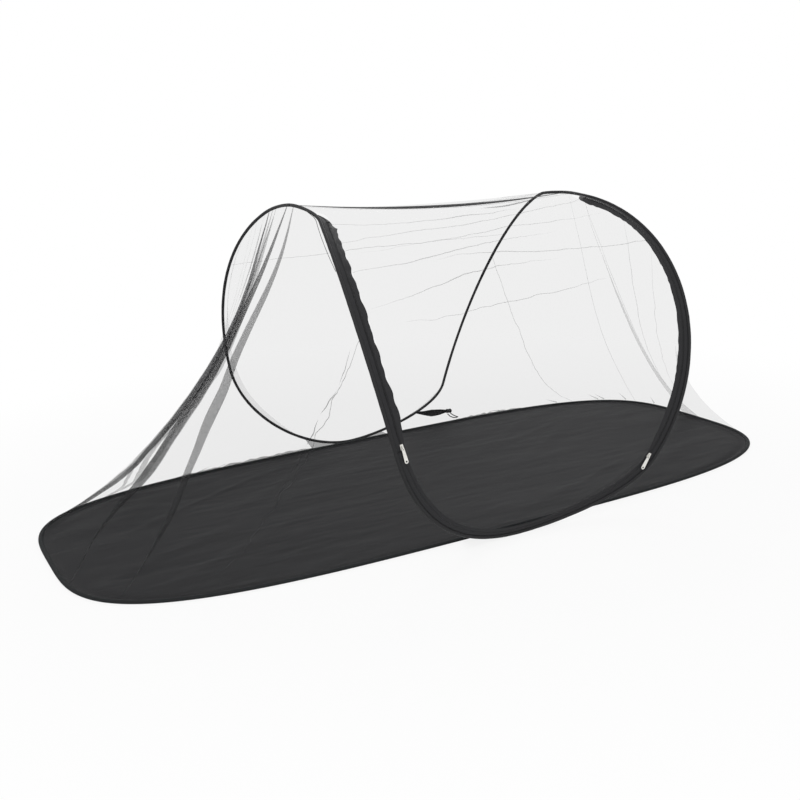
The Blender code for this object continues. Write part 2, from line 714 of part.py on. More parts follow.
def add_gusset(name, left, right, rim_left, rim_right, first):
    """The fabric that ties the arch's dip to the floor's edge."""
    inner = first + CORNER_STEPS - GUSSET_STEPS
    arch = left.part(inner, first + CORNER_STEPS).then(right.part(inner, first + CORNER_STEPS).reversed())
    count = len(arch.points)
    shares = np.linspace(0.0, 1.0, count)[:, None]
    rim = (1.0 - shares) * rim_left + shares * rim_right
    feet = np.array([gusset_foot(point, target) for point, target in zip(rim, arch.points)])
    tangents = unit(np.gradient(arch.points, axis=0))
    tops = []
    for point, foot, tangent in zip(arch.points, feet, tangents):
        tops.append(point + (SLEEVE_RADIUS + 2 * GAP) * square_to(foot - point, tangent))
    tops = np.array(tops)
    for row in (feet, tops):
        row[0] += 2 * GAP * unit(row[1] - row[0])
        row[-1] += 2 * GAP * unit(row[-2] - row[-1])
    grid = np.stack([feet, (feet + tops) / 2, tops])
    add_piece(name, *sheet(grid, NET_THICKNESS), "floor_fabric")


HINGE_START = LEFT_APEX + Y_AXIS * -(RIDGE_TAPE_WIDTH / 2 + HINGE_STANDOFF)
HINGE_END = RIGHT_APEX + Y_AXIS * -(RIDGE_TAPE_WIDTH / 2 + HINGE_STANDOFF)
HINGE_POINT = (HINGE_START + HINGE_END) / 2


def door_edge(path):
    """One side edge of the door's netting: beside the sleeve, then past the zip and round to the dip."""
    edge = path.line(DOOR_NET_START)
    edge[:ZIP_TOP] = path.line(SLEEVE_RADIUS + 2 * GAP)[:ZIP_TOP]
    edge[ZIP_LOW + 1:] = path.line(HEM_NET_START)[ZIP_LOW + 1:]
    down = list(range(0, ZIP_ARC_TOP)) + list(range(ZIP_ARC_TOP, ZIP_LOW, 2)) + list(range(ZIP_LOW, DIP))
    return ridge_end(edge[down], RIDGE_TAPE_WIDTH / 2 + HINGE_STANDOFF + GAP)


def add_door():
    """The door: its netting, the zip tapes down its sides and the hem round its foot."""
    grid = ruled_net(door_edge(FRONT_LEFT), door_edge(FRONT_RIGHT), ROOF_FOLD, ROOF_FOLD_COUNT)
    add_piece("door_net", *sheet(grid, NET_THICKNESS), "net", HINGE_POINT)
    inner_end = INNER_TAPE_START + INNER_TAPE_WIDTH
    for side, path in (("left", FRONT_LEFT), ("right", FRONT_RIGHT)):
        zip_line = path.part(ZIP_TOP, ZIP_LOW).trimmed(0.0, GAP)
        tape = band(zip_line, INNER_TAPE_START, inner_end, TAPE_THICKNESS)
        add_piece("zip_tape_inner_" + side, *tape, "tape", HINGE_POINT)
    foot = FRONT_LEFT.part(ZIP_LOW, DIP).then(FRONT_RIGHT.part(ZIP_LOW, DIP).reversed())
    hem = band(foot.trimmed(GAP, GAP), HEM_START, HEM_START + HEM_WIDTH, TAPE_THICKNESS)
    add_piece("door_hem", *hem, "tape", HINGE_POINT)


def add_zip_tracks():
    """The outer zip tapes with their chains, and the sill band under the door."""
    outer_end = TAPE_START + OUTER_TAPE_WIDTH
    half = CHAIN_HEIGHT / 2
    shoulder, crown = half * CHAIN_CROWN_SHARE, CHAIN_WIDTH / 2 * CHAIN_CROWN_SHARE
    middle, end = CHAIN_MIDDLE, CHAIN_START + CHAIN_WIDTH
    chain = [(CHAIN_START, -half), (end, -half), (end, shoulder), (middle + crown, half),
             (middle - crown, half), (CHAIN_START, shoulder)]
    for side, path in (("left", FRONT_LEFT), ("right", FRONT_RIGHT)):
        zip_line = path.part(ZIP_TOP, ZIP_LOW).trimmed(0.0, GAP)
        tape = band(zip_line, TAPE_START, outer_end, TAPE_THICKNESS)
        add_piece("zip_tape_outer_" + side, *tape, "tape")
        chain_line = path.part(ZIP_ARC_TOP, ZIP_LOW).trimmed(GAP, GAP)
        add_piece("zip_chain_" + side, *swept(chain_line, chain), "chain")
    foot = FRONT_LEFT.part(ZIP_LOW, DIP).then(FRONT_RIGHT.part(ZIP_LOW, DIP).reversed())
    sill = band(foot.trimmed(GAP, GAP), TAPE_START, TAPE_START + SILL_WIDTH, TAPE_THICKNESS)
    add_piece("door_sill_band", *sill, "tape")


def slider_section(half_width):
    """A slider's section: two plates joined on the door's side, open on the other for the outer tape."""
    slot = TAPE_THICKNESS / 2 + SLIDER_CLEARANCE
    room_high = CHAIN_HEIGHT / 2 + SLIDER_CLEARANCE
    room_wide = CHAIN_WIDTH / 2 + SLIDER_CLEARANCE
    top = room_high + SLIDER_PLATE
    corner = SLIDER_CORNER
    outside = [(-half_width, -slot), (-half_width, corner - top), (corner - half_width, -top),
               (half_width - corner, -top), (half_width, corner - top), (half_width, top - corner),
               (half_width - corner, top), (corner - half_width, top), (-half_width, top - corner),
               (-half_width, slot)]
    inside = [(-room_wide, slot), (-room_wide, room_high), (room_wide, room_high), (room_wide, -room_high),
              (-room_wide, -room_high), (-room_wide, -slot)]
    return outside + inside


def stop_section():
    """An end stop's section: a clip bent round the chain."""
    slot = TAPE_THICKNESS / 2 + GAP
    room_high, room_wide = CHAIN_HEIGHT / 2 + GAP, CHAIN_WIDTH / 2 + GAP
    top, side = room_high + STOP_WALL, room_wide + STOP_WALL
    points = [(-side, -slot), (-side, -top), (side, -top), (side, top), (-side, top), (-side, slot),
              (-room_wide, slot), (-room_wide, room_high), (room_wide, room_high), (room_wide, -room_high),
              (-room_wide, -room_high), (-room_wide, -slot)]
    return [(CHAIN_MIDDLE + across, up) for across, up in points]


class SliderPlace:
    """Where a slider rests on its zip, and the frame of its pull."""

    def __init__(self, arc):
        facet = arc.sweep / FRONT_ARC_STEPS
        flat = arc.radius * (1.0 - math.cos(facet / 2)) / 2
        reach = STOP_LENGTH + GAP + SLIDER_END_GAP + SLIDER_LENGTH / 2
        self.angle = arc.sweep - reach / arc.radius
        on_wire, self.down, self.side, self.out = arc.frame(self.angle)
        self.middle = on_wire - flat * unit(on_wire - arc.centre) + CHAIN_MIDDLE * self.side
        self.plate_top = CHAIN_HEIGHT / 2 + SLIDER_CLEARANCE + SLIDER_PLATE
        leg = BRIDGE_LENGTH / 2 - BRIDGE_THICKNESS
        self.bar = self.middle + (leg - BAR_ROOM) * self.down + (self.plate_top + BAR_ROOM) * self.out
        hang = square_to(-Z_AXIS, self.side)
        self.lift = max(0.0, math.atan2(hang.dot(self.out), hang.dot(self.down)))
        self.hang = math.cos(self.lift) * self.down + math.sin(self.lift) * self.out
        self.face = math.cos(self.lift) * self.out - math.sin(self.lift) * self.down


def plate_solid(outline, holes, thickness, place):
    """A flat plate with holes. The place turns the outline's two numbers and a height into a point."""
    loops = [outline] + holes
    flat = [point for loop in loops for point in loop]
    half = thickness / 2
    vertices = [place(u, v, half) for u, v in flat] + [place(u, v, -half) for u, v in flat]
    under = len(flat)
    cut = tessellate_polygon([[Vector((u, v, 0.0)) for u, v in loop] for loop in loops])
    faces = [tuple(triangle) for triangle in cut]
    faces += [tuple(under + corner for corner in reversed(triangle)) for triangle in cut]
    first = 0
    for loop in loops:
        count = len(loop)
        for i in range(count):
            a, b = first + i, first + (i + 1) % count
            faces.append((a, under + a, under + b, b))
        first += count
    return vertices, faces


def add_slider(side, arc):
    """A slider with its bridge, and its pull, which swings on the bridge."""
    place = SliderPlace(arc)
    stations = [place.middle + share * SLIDER_LENGTH * place.down for share, _ in SLIDER_OUTLINE_SHARES]
    body = Path(stations, [place.side] * len(stations), [place.out] * len(stations))
    sections = [slider_section(SLIDER_HALF_WIDTH * width) for _, width in SLIDER_OUTLINE_SHARES]
    slider = add_piece("slider_" + side, *swept(body, sections), "slider", arc.centre)
    end = BRIDGE_LENGTH / 2
    foot, roof = place.plate_top - BRIDGE_ROOT, place.plate_top + 2 * BAR_ROOM
    top = roof + BRIDGE_THICKNESS
    inner = end - BRIDGE_THICKNESS
    staple = [(-end, foot), (-end, top - SLIDER_CORNER), (SLIDER_CORNER - end, top),
              (end - SLIDER_CORNER, top), (end, top - SLIDER_CORNER), (end, foot),
              (inner, foot), (inner, roof), (-inner, roof), (-inner, foot)]
    bridge = plate_solid(
        staple, [], BRIDGE_WIDTH,
        lambda u, v, w: place.middle + u * place.down + v * place.out + w * place.side,
    )
    cutter = add_piece("bridge_" + side, *bridge, "slider", arc.centre)
    cutter.hide_render = True
    cutter.display_type = "WIRE"
    join = slider.modifiers.new("bridge", "BOOLEAN")
    join.operation = "UNION"
    join.solver = "EXACT"
    join.object = cutter
    neck, wide = PULL_NECK_WIDTH / 2, PULL_END_WIDTH / 2
    centre = PULL_LENGTH - wide
    turns = [math.pi * step / ROUND_SIDES for step in range(ROUND_SIDES + 1)]
    outline = [(-BAR_HALF, -neck), (-BAR_HALF, neck)]
    outline += [(centre + wide * math.sin(turn), wide * math.cos(turn)) for turn in turns]
    window = PULL_WINDOW_WIDTH / 2
    window_end = BAR_HALF + PULL_WINDOW_LENGTH
    slot = [(BAR_HALF, -window), (window_end, -window), (window_end, window), (BAR_HALF, window)]
    turns = [2.0 * math.pi * step / ROUND_SIDES for step in range(ROUND_SIDES)]
    eye = PULL_HOLE_RADIUS
    hole = [(centre + eye * math.cos(turn), eye * math.sin(turn)) for turn in turns]
    pull = plate_solid(
        outline, [slot, hole], PULL_THICKNESS,
        lambda u, v, w: place.bar + u * place.hang + v * place.side + w * place.face,
    )
    add_piece("pull_" + side, *pull, "slider", place.bar)


def add_stops(side, path):
    """The clips at both ends of a zip's chain."""
    clip = stop_section()
    for name, station, start, end in (("top", ZIP_ARC_TOP, 0.0, 1.0), ("low", ZIP_LOW - 1, 1.0, 0.0)):
        length = np.linalg.norm(path.points[station + 1] - path.points[station])
        share = STOP_LENGTH / length
        near = start + (end - start) * GAP / length
        far = near + (end - start) * share
        span = path.between(station, min(near, far), max(near, far))
        add_piece("zip_stop_" + name + "_" + side, *swept(span, clip), "slider")


def add_keeper():
    """The strap, toggle and hook that keep the folded tent shut, left hanging at the back."""
    station = APEX_STEPS + BACK_ARC_STEPS + CORNER_STEPS - STRAP_STATION
    ring = BACK_RIGHT.points[station]
    toggle = np.array((TOGGLE_ALONG, FLOOR_WIDTH / 2 + TOGGLE_BEYOND_FLOOR, TOGGLE_HEIGHT))
    tangent = unit(BACK_RIGHT.points[station + 1] - BACK_RIGHT.points[station - 1])
    leaving = square_to(toggle - ring, tangent)
    start = ring + (SLEEVE_RADIUS + GAP) * leaving
    way = unit(toggle - start)
    end = toggle - (TOGGLE_LENGTH / 2 + GAP) * way
    up = square_to(Z_AXIS, way)
    out = np.cross(way, up)
    points, tangents = blend_curve(start, leaving, end, way, 1.0, STRAP_STEPS)
    first = tangent * math.copysign(1.0, tangent.dot(up))
    strap = blended_path(points, tangents, (first, np.cross(leaving, first)), (up, out))
    swell = np.sin(math.pi * np.linspace(0.0, 1.0, STRAP_STEPS + 1)) ** 0.5
    half = STRAP_WIDTH / 2 * (STRAP_NARROW_SHARE + (1.0 - STRAP_NARROW_SHARE) * swell[:, None])
    add_piece("keeper_strap", *band(strap, -half, half, STRAP_THICKNESS), "webbing")
    rings = [toggle + share * TOGGLE_LENGTH * way for share, _ in TOGGLE_SHARES]
    barrel = [round_section(TOGGLE_RADIUS * share, ROUND_SIDES) for _, share in TOGGLE_SHARES]
    body = Path(rings, [up] * len(rings), [out] * len(rings))
    add_piece("keeper_toggle", *swept(body, barrel), "hook")
    seat = toggle - (TOGGLE_RADIUS + HOOK_RADIUS + GAP) * Z_AXIS
    route = [seat + HOOK_REACH * np.array(shares) for shares in HOOK_ROUTE_SHARES]
    ways = unit(np.gradient(np.array(route), axis=0))
    sides = [square_to(np.cross(Z_AXIS, w), w) for w in ways]
    bend = Path(route, sides, [np.cross(w, side) for w, side in zip(ways, sides)])
    add_piece("keeper_hook", *swept(bend, round_section(HOOK_RADIUS, SLEEVE_SIDES)), "webbing")


for existing in list(bpy.data.objects):
    bpy.data.objects.remove(existing, do_unlink=True)
add_hoops()
add_floor()
add_end_net("left", FRONT_LEFT, BACK_LEFT, LEFT_RIM)
add_end_net("right", FRONT_RIGHT, BACK_RIGHT, RIGHT_RIM[::-1])
add_roof()
add_door()
add_zip_tracks()
for zip_side, zip_path, zip_arc in (("left", FRONT_LEFT, LEFT_ARC), ("right", FRONT_RIGHT, RIGHT_ARC)):
    add_slider(zip_side, zip_arc)
    add_stops(zip_side, zip_path)
add_keeper()
add_gusset("front_gusset", FRONT_LEFT, FRONT_RIGHT, LEFT_RIM[-1], RIGHT_RIM[0], ZIP_LOW)
add_gusset("back_gusset", BACK_LEFT, BACK_RIGHT, LEFT_RIM[0], RIGHT_RIM[-1], APEX_STEPS + BACK_ARC_STEPS)
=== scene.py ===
"""The looks of the pop up mosquito net tent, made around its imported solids.

Metres, +Z up, +X along the sleeper, front at -Y. Cloth, netting and tapes are made here on the same curves as
the solids that they stand for, only finer.
"""
import math

import bpy
import numpy as np
from mathutils import Matrix, noise


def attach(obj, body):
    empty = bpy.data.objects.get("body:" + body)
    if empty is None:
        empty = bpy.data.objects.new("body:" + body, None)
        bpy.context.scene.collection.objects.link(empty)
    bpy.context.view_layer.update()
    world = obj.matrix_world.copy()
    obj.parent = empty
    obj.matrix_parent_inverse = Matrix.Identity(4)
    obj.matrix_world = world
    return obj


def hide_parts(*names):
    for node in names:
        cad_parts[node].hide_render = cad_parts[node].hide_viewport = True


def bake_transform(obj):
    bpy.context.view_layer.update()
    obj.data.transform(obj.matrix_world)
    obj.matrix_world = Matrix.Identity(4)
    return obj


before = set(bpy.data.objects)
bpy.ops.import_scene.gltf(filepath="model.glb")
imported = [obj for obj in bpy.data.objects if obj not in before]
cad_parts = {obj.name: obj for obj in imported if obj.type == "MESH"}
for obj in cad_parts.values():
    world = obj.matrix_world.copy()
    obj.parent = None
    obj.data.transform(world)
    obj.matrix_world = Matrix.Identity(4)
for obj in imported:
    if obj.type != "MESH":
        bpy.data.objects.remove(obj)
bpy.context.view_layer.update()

# Floor and arches, as the solids have them
FLOOR_LENGTH = 2.0
FLOOR_WIDTH = 0.883
FLOOR_CORNER_POWER = 3.76
ARCH_HEIGHT = 0.785
DIP_FRONT_REACH = 0.045
DIP_BACK_REACH = 0.0135
LEFT_APEX_SHARES = (-0.313, 0.0, 1.0)
LEFT_ZIP_SHARES = ((-0.3175, -0.4056, 0.9638), (-0.359, -0.944, 0.725), (-0.336, -1.216, 0.357))
RIGHT_APEX_SHARES = (0.519, 0.0, 0.952)
RIGHT_ZIP_SHARES = ((0.512, -0.245, 0.944), (0.528, -1.103, 0.577), (0.386, -1.178, 0.1465))
APEX_PULL = 0.75
DIP_ALONG_SHARE = 0.004
BARREL_AXIS_SHARE = 0.306
CORNER_PULLS = {"front_left": 1.16, "front_right": 0.78, "back_left": 1.10, "back_right": 0.68}
GAP = 0.0003
SLEEVE_RADIUS = 0.0042
SLEEVE_WALL = 0.0008
RIM_HALF_WIDTH = 0.006
RIM_HALF_HEIGHT = 0.0042
OUTER_TAPE_WIDTH = 0.0115
INNER_TAPE_WIDTH = 0.010
CHAIN_WIDTH = 0.0056
CHAIN_HEIGHT = 0.0014
SLIDER_SIDE = 0.0016
SILL_WIDTH = 0.012
HEM_WIDTH = 0.009
RIDGE_TAPE_WIDTH = 0.010
HINGE_STANDOFF = 0.0010
TAPE_START = SLEEVE_RADIUS - SLEEVE_WALL / 2
CHAIN_START = TAPE_START + OUTER_TAPE_WIDTH + GAP
CHAIN_MIDDLE = CHAIN_START + CHAIN_WIDTH / 2
INNER_TAPE_START = CHAIN_MIDDLE + CHAIN_WIDTH / 2 + SLIDER_SIDE + GAP
HEM_START = TAPE_START + SILL_WIDTH + GAP
HEM_NET_START = HEM_START + HEM_WIDTH + GAP

# Tapes
TAPE_THICKNESS = 0.0006
TAPE_WAVES = {"left": 0.0034, "right": 0.0008}
TAPE_DROOPS = {"left": 0.006, "right": 0.011}
DROOP_START = 0.06
DROOP_LENGTH = 0.30
TAPE_TOP_SHARE = 0.15
TAPE_FOOT = 0.08
TAPE_LAP = 0.0008
# The door's tape stays this narrow down to here, and bulges where it widens
TAPE_NECKS = {"left": 0.050, "right": 0.0}
TAPE_NECK_SHARE = 0.40
TAPE_NECK_FADE = 0.016
TAPE_BULGE = 0.0030
TAPE_BULGE_LENGTH = 0.008
# Heights of the tapes' small waves
INNER_CRINKLE = 0.0014
OUTER_CRINKLE = 0.0010
# Rough lines: bends to a metre, and seed
TAPE_WAVE_LINE = (38.0, 3.0)
OUTER_CRINKLE_LINE = (55.0, 4.0)
PUCKER_LINE = (83.0, 14.6)

# The chain's teeth, across and out of the chain as shares of its half width and half height
TOOTH_PITCH = 0.0015
TOOTH_LENGTH = 0.0010
TOOTH_SHARES = ((-1.0, -0.7), (1.0, -0.7), (1.0, 0.3), (0.6, 1.0), (-0.6, 1.0), (-1.0, 0.3))

# Sleeves, seams and the strap with its toggle
SLEEVE_SIDES = 14
SLEEVE_PUCKER = 0.05
GUSSET_THICKNESS = 0.0006
PIPING_STEPS = 26
PIPING_REACH = 0.006
PIPING_RADIUS = 0.0007
PIPING_SIDES = 6
PIPING_DROP = 0.002
PIPING_CLEARANCE = 0.0006
FRILL_STATIONS = 160
FRILL_THICKNESS = 0.0003
FRILL_SWAY = 0.002
# The frill's mean height, how far it varies and its least height, as shares of the full one
FRILL_SHARES = (0.55, 0.45, 0.15)
# The solid's station from the dip at which the strap leaves the back sleeve
STRAP_STATION = 6
STRAP_SAG = 0.004
STRAP_FOLD = 0.0012
STRAP_THICKNESS = 0.0012
STRAP_STEPS = 31
STRAP_LINES = 9
# How far the strap reaches into the sleeve and into its knot
STRAP_INTO_SLEEVE = 0.0004
STRAP_INTO_KNOT = 0.001
# Places along the strap, and its half width there
STRAP_PLACES = (0.0, 0.2, 0.5, 0.8, 1.0)
STRAP_HALF_WIDTHS = (0.003, 0.006, 0.0115, 0.009, 0.0045)
TOGGLE_ALONG = 0.383
TOGGLE_BEYOND_FLOOR = 0.046
TOGGLE_HEIGHT = 0.027
TOGGLE_LENGTH = 0.020
CAST_EDGE = 0.0003

# Netting: how much of the light one layer stops, and how its layers lie in a fold
NET_ALPHA = 0.075
GATHERED_ALPHA = 0.22
BUNCHED_ALPHA = 0.48
SEAM_ALPHA = 0.38
LAYER_STEP = 0.0007
NET_LAYER_GAP = 0.0004
# A fold with less reach than this has its layers closer together
OPEN_REACH = 0.002
# Rows to each side over which a fold's route is smoothed
ROUTE_SMOOTHING = 5
# Bends in a fold's whole route: its waver's large and small ones, and those of its loose tips
WAVER_BENDS, WAVER_KINKS, LOOSE_BENDS = 14.0, 47.0, 4.0
# A standing fold's foot strays by this share of its reach
FOOT_STRAY = 0.2
# Short creases: their start beside the long one and their lean, both as column shares, and their length
BRANCH_START = 0.003
BRANCH_LEAN = 0.011
BRANCH_LEAN_VARIES = 0.005
BRANCH_LENGTH = 0.8
TUFT_REACH = 0.006
TUFT_LEAN = 0.004
# The nets' plain columns and their rows, and the rows of the surfaces that they are laid on
LONG_END_SIZE, SHORT_END_SIZE, BARREL_SIZE = (150, 100), (150, 90), (110, 61)
COARSE_ROWS = 13
FINE_ROWS = 49
BARREL_ROWS = 41
RIDGE_STATIONS = 61
RIDGE_SAG = 0.021
RIDGE_SAG_REACH = 0.16
# The ridge tape's share of full width at the arches, and how far its edges hang as a share of its half width
RIDGE_END_SHARE = 0.3
RIDGE_DROOP = 0.6
# The door bends between the ridge and this far down its net
HINGE_SPREAD = 0.035
# The stations over which the door's net opens from the sleeve to the zip, and those after the zip's foot at
# which it comes to the hem
OPENING_STATIONS = 3
HEM_STATIONS = 3
# The stations before the dip at which the two nets end
DOOR_DIP_MARGIN = 2
ROOF_DIP_MARGIN = 3
ROOF_SAG = 0.012
ROOF_FOLD = 0.004
ROOF_FOLD_COUNT = 5
END_FOLD = 0.009
END_FOLD_COUNT = 7
END_PULLS = {"left": (0.228, 0.061), "right": (0.167, 0.046)}
# The least flat width and share of the flat area that a sheet's worked-out size may have
LEAST_FLAT = 0.0101
LEAST_AREA_SHARE = 0.31

# The floor's rings, as shares of its outline: close together beside the binding, then even to the middle
FLOOR_RINGS = np.concatenate([1.0 - 0.006 * np.arange(8), np.linspace(0.95, 0.02, 110)])
FLOOR_OVERLAP = 0.8
FLOOR_LIFT = 0.0032
FLOOR_WRINKLE = 0.0022
FLOOR_LEAST = 0.0006
FLOOR_MIDDLE_HEIGHT = 0.001
# Shares of the floor in from its edge: where the cloth has come down from the binding, and where it is
# fully wrinkled
FLOOR_DOWN_SHARE = 0.015
FLOOR_WRINKLED_SHARE = 0.05

# Stations: three for each one of the solids on the arches, four on each end of the floor's outline
APEX_STEPS = 12
FRONT_ARC_STEPS = 78
BACK_ARC_STEPS = 36
CORNER_STEPS = 30
GUSSET_STEPS = 9
RIM_SIDE_STEPS = 100
ZIP_TOP = 3 * APEX_STEPS // 4
ZIP_LOW = APEX_STEPS + FRONT_ARC_STEPS
BACK_LOW = APEX_STEPS + BACK_ARC_STEPS
DIP = ZIP_LOW + CORNER_STEPS
# Angles at which half the outline is worked out before its stations are spread along it
RIM_FINE_STEPS = 720

# The photograph's camera
CAMERA_AZIMUTH = -0.4703
CAMERA_ELEVATION = 0.2583
CAMERA_DISTANCE = 2.9632
CAMERA_ROLL = -0.0582
CAMERA_TARGET = (-0.051, 0.0, 0.2406)
CAMERA_FOCAL = 1096.6
PICTURE_SIZE = 800
PICTURE_CENTRE = (397.6, 400.1)
SENSOR_WIDTH = 36.0

# Surround: the ground shades from its first glow to white between two distances
WHITE = (1.0, 1.0, 1.0, 1.0)
GROUND_GREY = (0.9, 0.9, 0.9, 1.0)
GROUND_HALF_SIDE = 30.0
GROUND_DEPTH = 0.0004
GROUND_FADE = (0.9, 1.9)
GROUND_FIRST_GLOW = 0.86
SKY_STRENGTH = 0.60
# Name, place, width and power of each lamp, and the point that they all aim at
LAMPS = (("key", (-1.6, -2.2, 3.4), 2.6, 46.0), ("back", (2.2, 2.4, 2.6), 2.0, 30.0))
LAMP_TARGET = (0.0, 0.0, 0.2)
# Layers of netting that a ray of light may pass
MOST_LAYERS = 64

X_AXIS = np.array((1.0, 0.0, 0.0))
Y_AXIS = np.array((0.0, 1.0, 0.0))
Z_AXIS = np.array((0.0, 0.0, 1.0))


def unit(vector):
    """The vector, or each vector of a list, at length one."""
    vector = np.asarray(vector, dtype=float)
    return vector / np.maximum(np.linalg.norm(vector, axis=-1, keepdims=True), 1e-12)


def square_to(vector, tangent):
    """The part of a vector that is square to a tangent, at length one."""
    return unit(vector - np.sum(vector * tangent, axis=-1, keepdims=True) * tangent)


def smooth_share(share):
    """Goes from 0 to 1 with level ends."""
    share = np.clip(share, 0.0, 1.0)
    return share * share * (3.0 - 2.0 * share)


def even(count):
    """Even shares from 0 to 1."""
    return np.linspace(0.0, 1.0, count)


def at_shares(shares):
    """A point from its shares of half length, half width and arch height."""
    return np.array(shares) * (FLOOR_LENGTH / 2, FLOOR_WIDTH / 2, ARCH_HEIGHT)


def resampled(points, places, wanted):
    """Points of a line at the wanted places along it."""
    return np.stack([np.interp(wanted, places, points[:, axis]) for axis in range(3)], axis=1)


def ring(count):
    """Angles spread evenly round a circle."""
    return np.linspace(0.0, 2.0 * math.pi, count, endpoint=False)


def straight(first, last, rows):
    """Points at even shares of the straight line between two points, or between each pair of two rows."""
    shares = even(rows).reshape(-1, *(1,) * np.ndim(first))
    return (1.0 - shares) * first + shares * last


def lengths_along(grid, axis):
    """How far each point of a line or a grid lies along one of its axes."""
    steps = np.linalg.norm(np.diff(grid, axis=axis), axis=-1)
    return np.concatenate([np.zeros_like(steps.take([0], axis)), np.cumsum(steps, axis=axis)], axis=axis)


def view_axes():
    """The camera's place and its right, up and forward directions."""
    back = np.array((
        math.sin(CAMERA_AZIMUTH) * math.cos(CAMERA_ELEVATION),
        -math.cos(CAMERA_AZIMUTH) * math.cos(CAMERA_ELEVATION),
        math.sin(CAMERA_ELEVATION),
    ))
    level = unit(np.cross(-back, Z_AXIS))
    up = np.cross(level, -back)
    right = level * math.cos(CAMERA_ROLL) + up * math.sin(CAMERA_ROLL)
    up = up * math.cos(CAMERA_ROLL) - level * math.sin(CAMERA_ROLL)
    return np.array(CAMERA_TARGET) + back * CAMERA_DISTANCE, right, up, -back


class Path:
    """Stations along a curve: point, direction across the band (side) and direction out of it (out)."""

    def __init__(self, points, sides, outs):
        self.points, self.sides, self.outs = np.array(points), np.array(sides), np.array(outs)

    def line(self, across, out=0.0):
        """The curve shifted across the band and out of it, by one distance or by one for each station."""
        across = np.asarray(across, dtype=float).reshape(-1, 1)
        out = np.asarray(out, dtype=float).reshape(-1, 1)
        return self.points + across * self.sides + out * self.outs

    def changed(self, change):
        """The path with the same change made to its points, its sides and its outs."""
        return Path(change(self.points), change(self.sides), change(self.outs))

    def part(self, first, last):
        """Stations first to last, both counted in."""
        return self.changed(lambda rows: rows[first:last + 1])

    def reversed(self):
        """The same stations in the other order."""
        return self.changed(lambda rows: rows[::-1])

    def mirrored(self):
        """The path on the other side of the tent's long axis."""
        return self.changed(lambda rows: rows * (1.0, -1.0, 1.0))

    def then(self, other):
        """This path and another that starts at its last station."""
        pairs = ((self.points, other.points), (self.sides, other.sides), (self.outs, other.outs))
        return Path(*(np.concatenate([mine, its[1:]]) for mine, its in pairs))

    def distances(self):
        """How far along the curve each station lies."""
        return lengths_along(self.points, 0)


class ZipArc:
    """The circle that one zip follows."""

    def __init__(self, point_shares, inward):
        top, middle, low = (at_shares(shares) for shares in point_shares)
        to_middle, to_low = middle - top, low - top
        normal = np.cross(to_middle, to_low)
        offset = np.cross(normal, to_middle) * to_low.dot(to_low)
        offset += np.cross(to_low, normal) * to_middle.dot(to_middle)
        self.centre = top + offset / (2.0 * normal.dot(normal))
        self.radius = float(np.linalg.norm(top - self.centre))
        turn_axis = unit(normal)
        self.radial = unit(top - self.centre)
        self.down = np.cross(turn_axis, self.radial)
        reach = low - self.centre
        self.sweep = math.atan2(reach.dot(self.down), reach.dot(self.radial)) % (2.0 * math.pi)
        self.axis = turn_axis * math.copysign(1.0, turn_axis.dot(inward))
        middle_out = unit(middle - self.centre)
        self.tilt = math.atan2(inward.dot(middle_out), inward.dot(self.axis))

    def frame(self, angle):
        """Point on the wire's line, tangent down the arch, side towards the door and outward direction."""
        radial = math.cos(angle) * self.radial + math.sin(angle) * self.down
        tangent = math.cos(angle) * self.down - math.sin(angle) * self.radial
        side = math.cos(self.tilt) * self.axis + math.sin(self.tilt) * radial
        out = math.cos(self.tilt) * radial - math.sin(self.tilt) * self.axis
        return self.centre + self.radius * radial, tangent, side, out


def blend_curve(start, start_way, end, end_way, pull, steps):
    """Points and tangents of a cubic from start to end that leaves and arrives in the given directions."""
    reach = np.linalg.norm(end - start) * pull
    s = even(steps + 1)[:, None]
    points = (2 * s**3 - 3 * s**2 + 1) * start + (s**3 - 2 * s**2 + s) * reach * start_way
    points = points + (3 * s**2 - 2 * s**3) * end + (s**3 - s**2) * reach * end_way
    ways = 6 * (s * s - s) * start + (3 * s * s - 4 * s + 1) * reach * start_way
    ways = ways + 6 * (s - s * s) * end + (3 * s * s - 2 * s) * reach * end_way
    return points, unit(ways)


def blended_path(points, tangents, first, last):
    """Stations whose side direction turns smoothly from the first to the last, kept square to the curve."""
    share = smooth_share(even(len(points)))[:, None]
    sides = square_to((1.0 - share) * first[0] + share * last[0], tangents)
    outs = (1.0 - share) * first[1] + share * last[1]
    outs = outs - np.sum(outs * tangents, axis=1, keepdims=True) * tangents
    return Path(points, sides, square_to(outs, sides))


def arch_side(arc, apex, dip, inward, arc_steps, pull):
    """Half an arch: from its apex down its zip's circle and round the corner to the dip, in front.

    The back's halves are made here too, down part of the same circles, and mirrored afterwards.
    """
    top, top_way, top_side, top_out = arc.frame(0.0)
    low, low_way, low_side, low_out = arc.frame(arc.sweep)
    curve = blend_curve(apex, -Y_AXIS, top, top_way, APEX_PULL, APEX_STEPS)
    bridge = blended_path(*curve, (inward, Z_AXIS), (top_side, top_out))
    frames = [arc.frame(arc.sweep * step / arc_steps) for step in range(arc_steps + 1)]
    leg = Path([f[0] for f in frames], [f[2] for f in frames], [f[3] for f in frames])
    dip_out = unit(np.array((0.0, dip[1], dip[2] - BARREL_AXIS_SHARE * ARCH_HEIGHT)))
    dip_side = np.array((0.0, dip_out[2], -dip_out[1]))
    curve = blend_curve(low, low_way, dip, inward, pull, CORNER_STEPS)
    return bridge.then(leg).then(blended_path(*curve, (low_side, low_out), (dip_side, dip_out)))


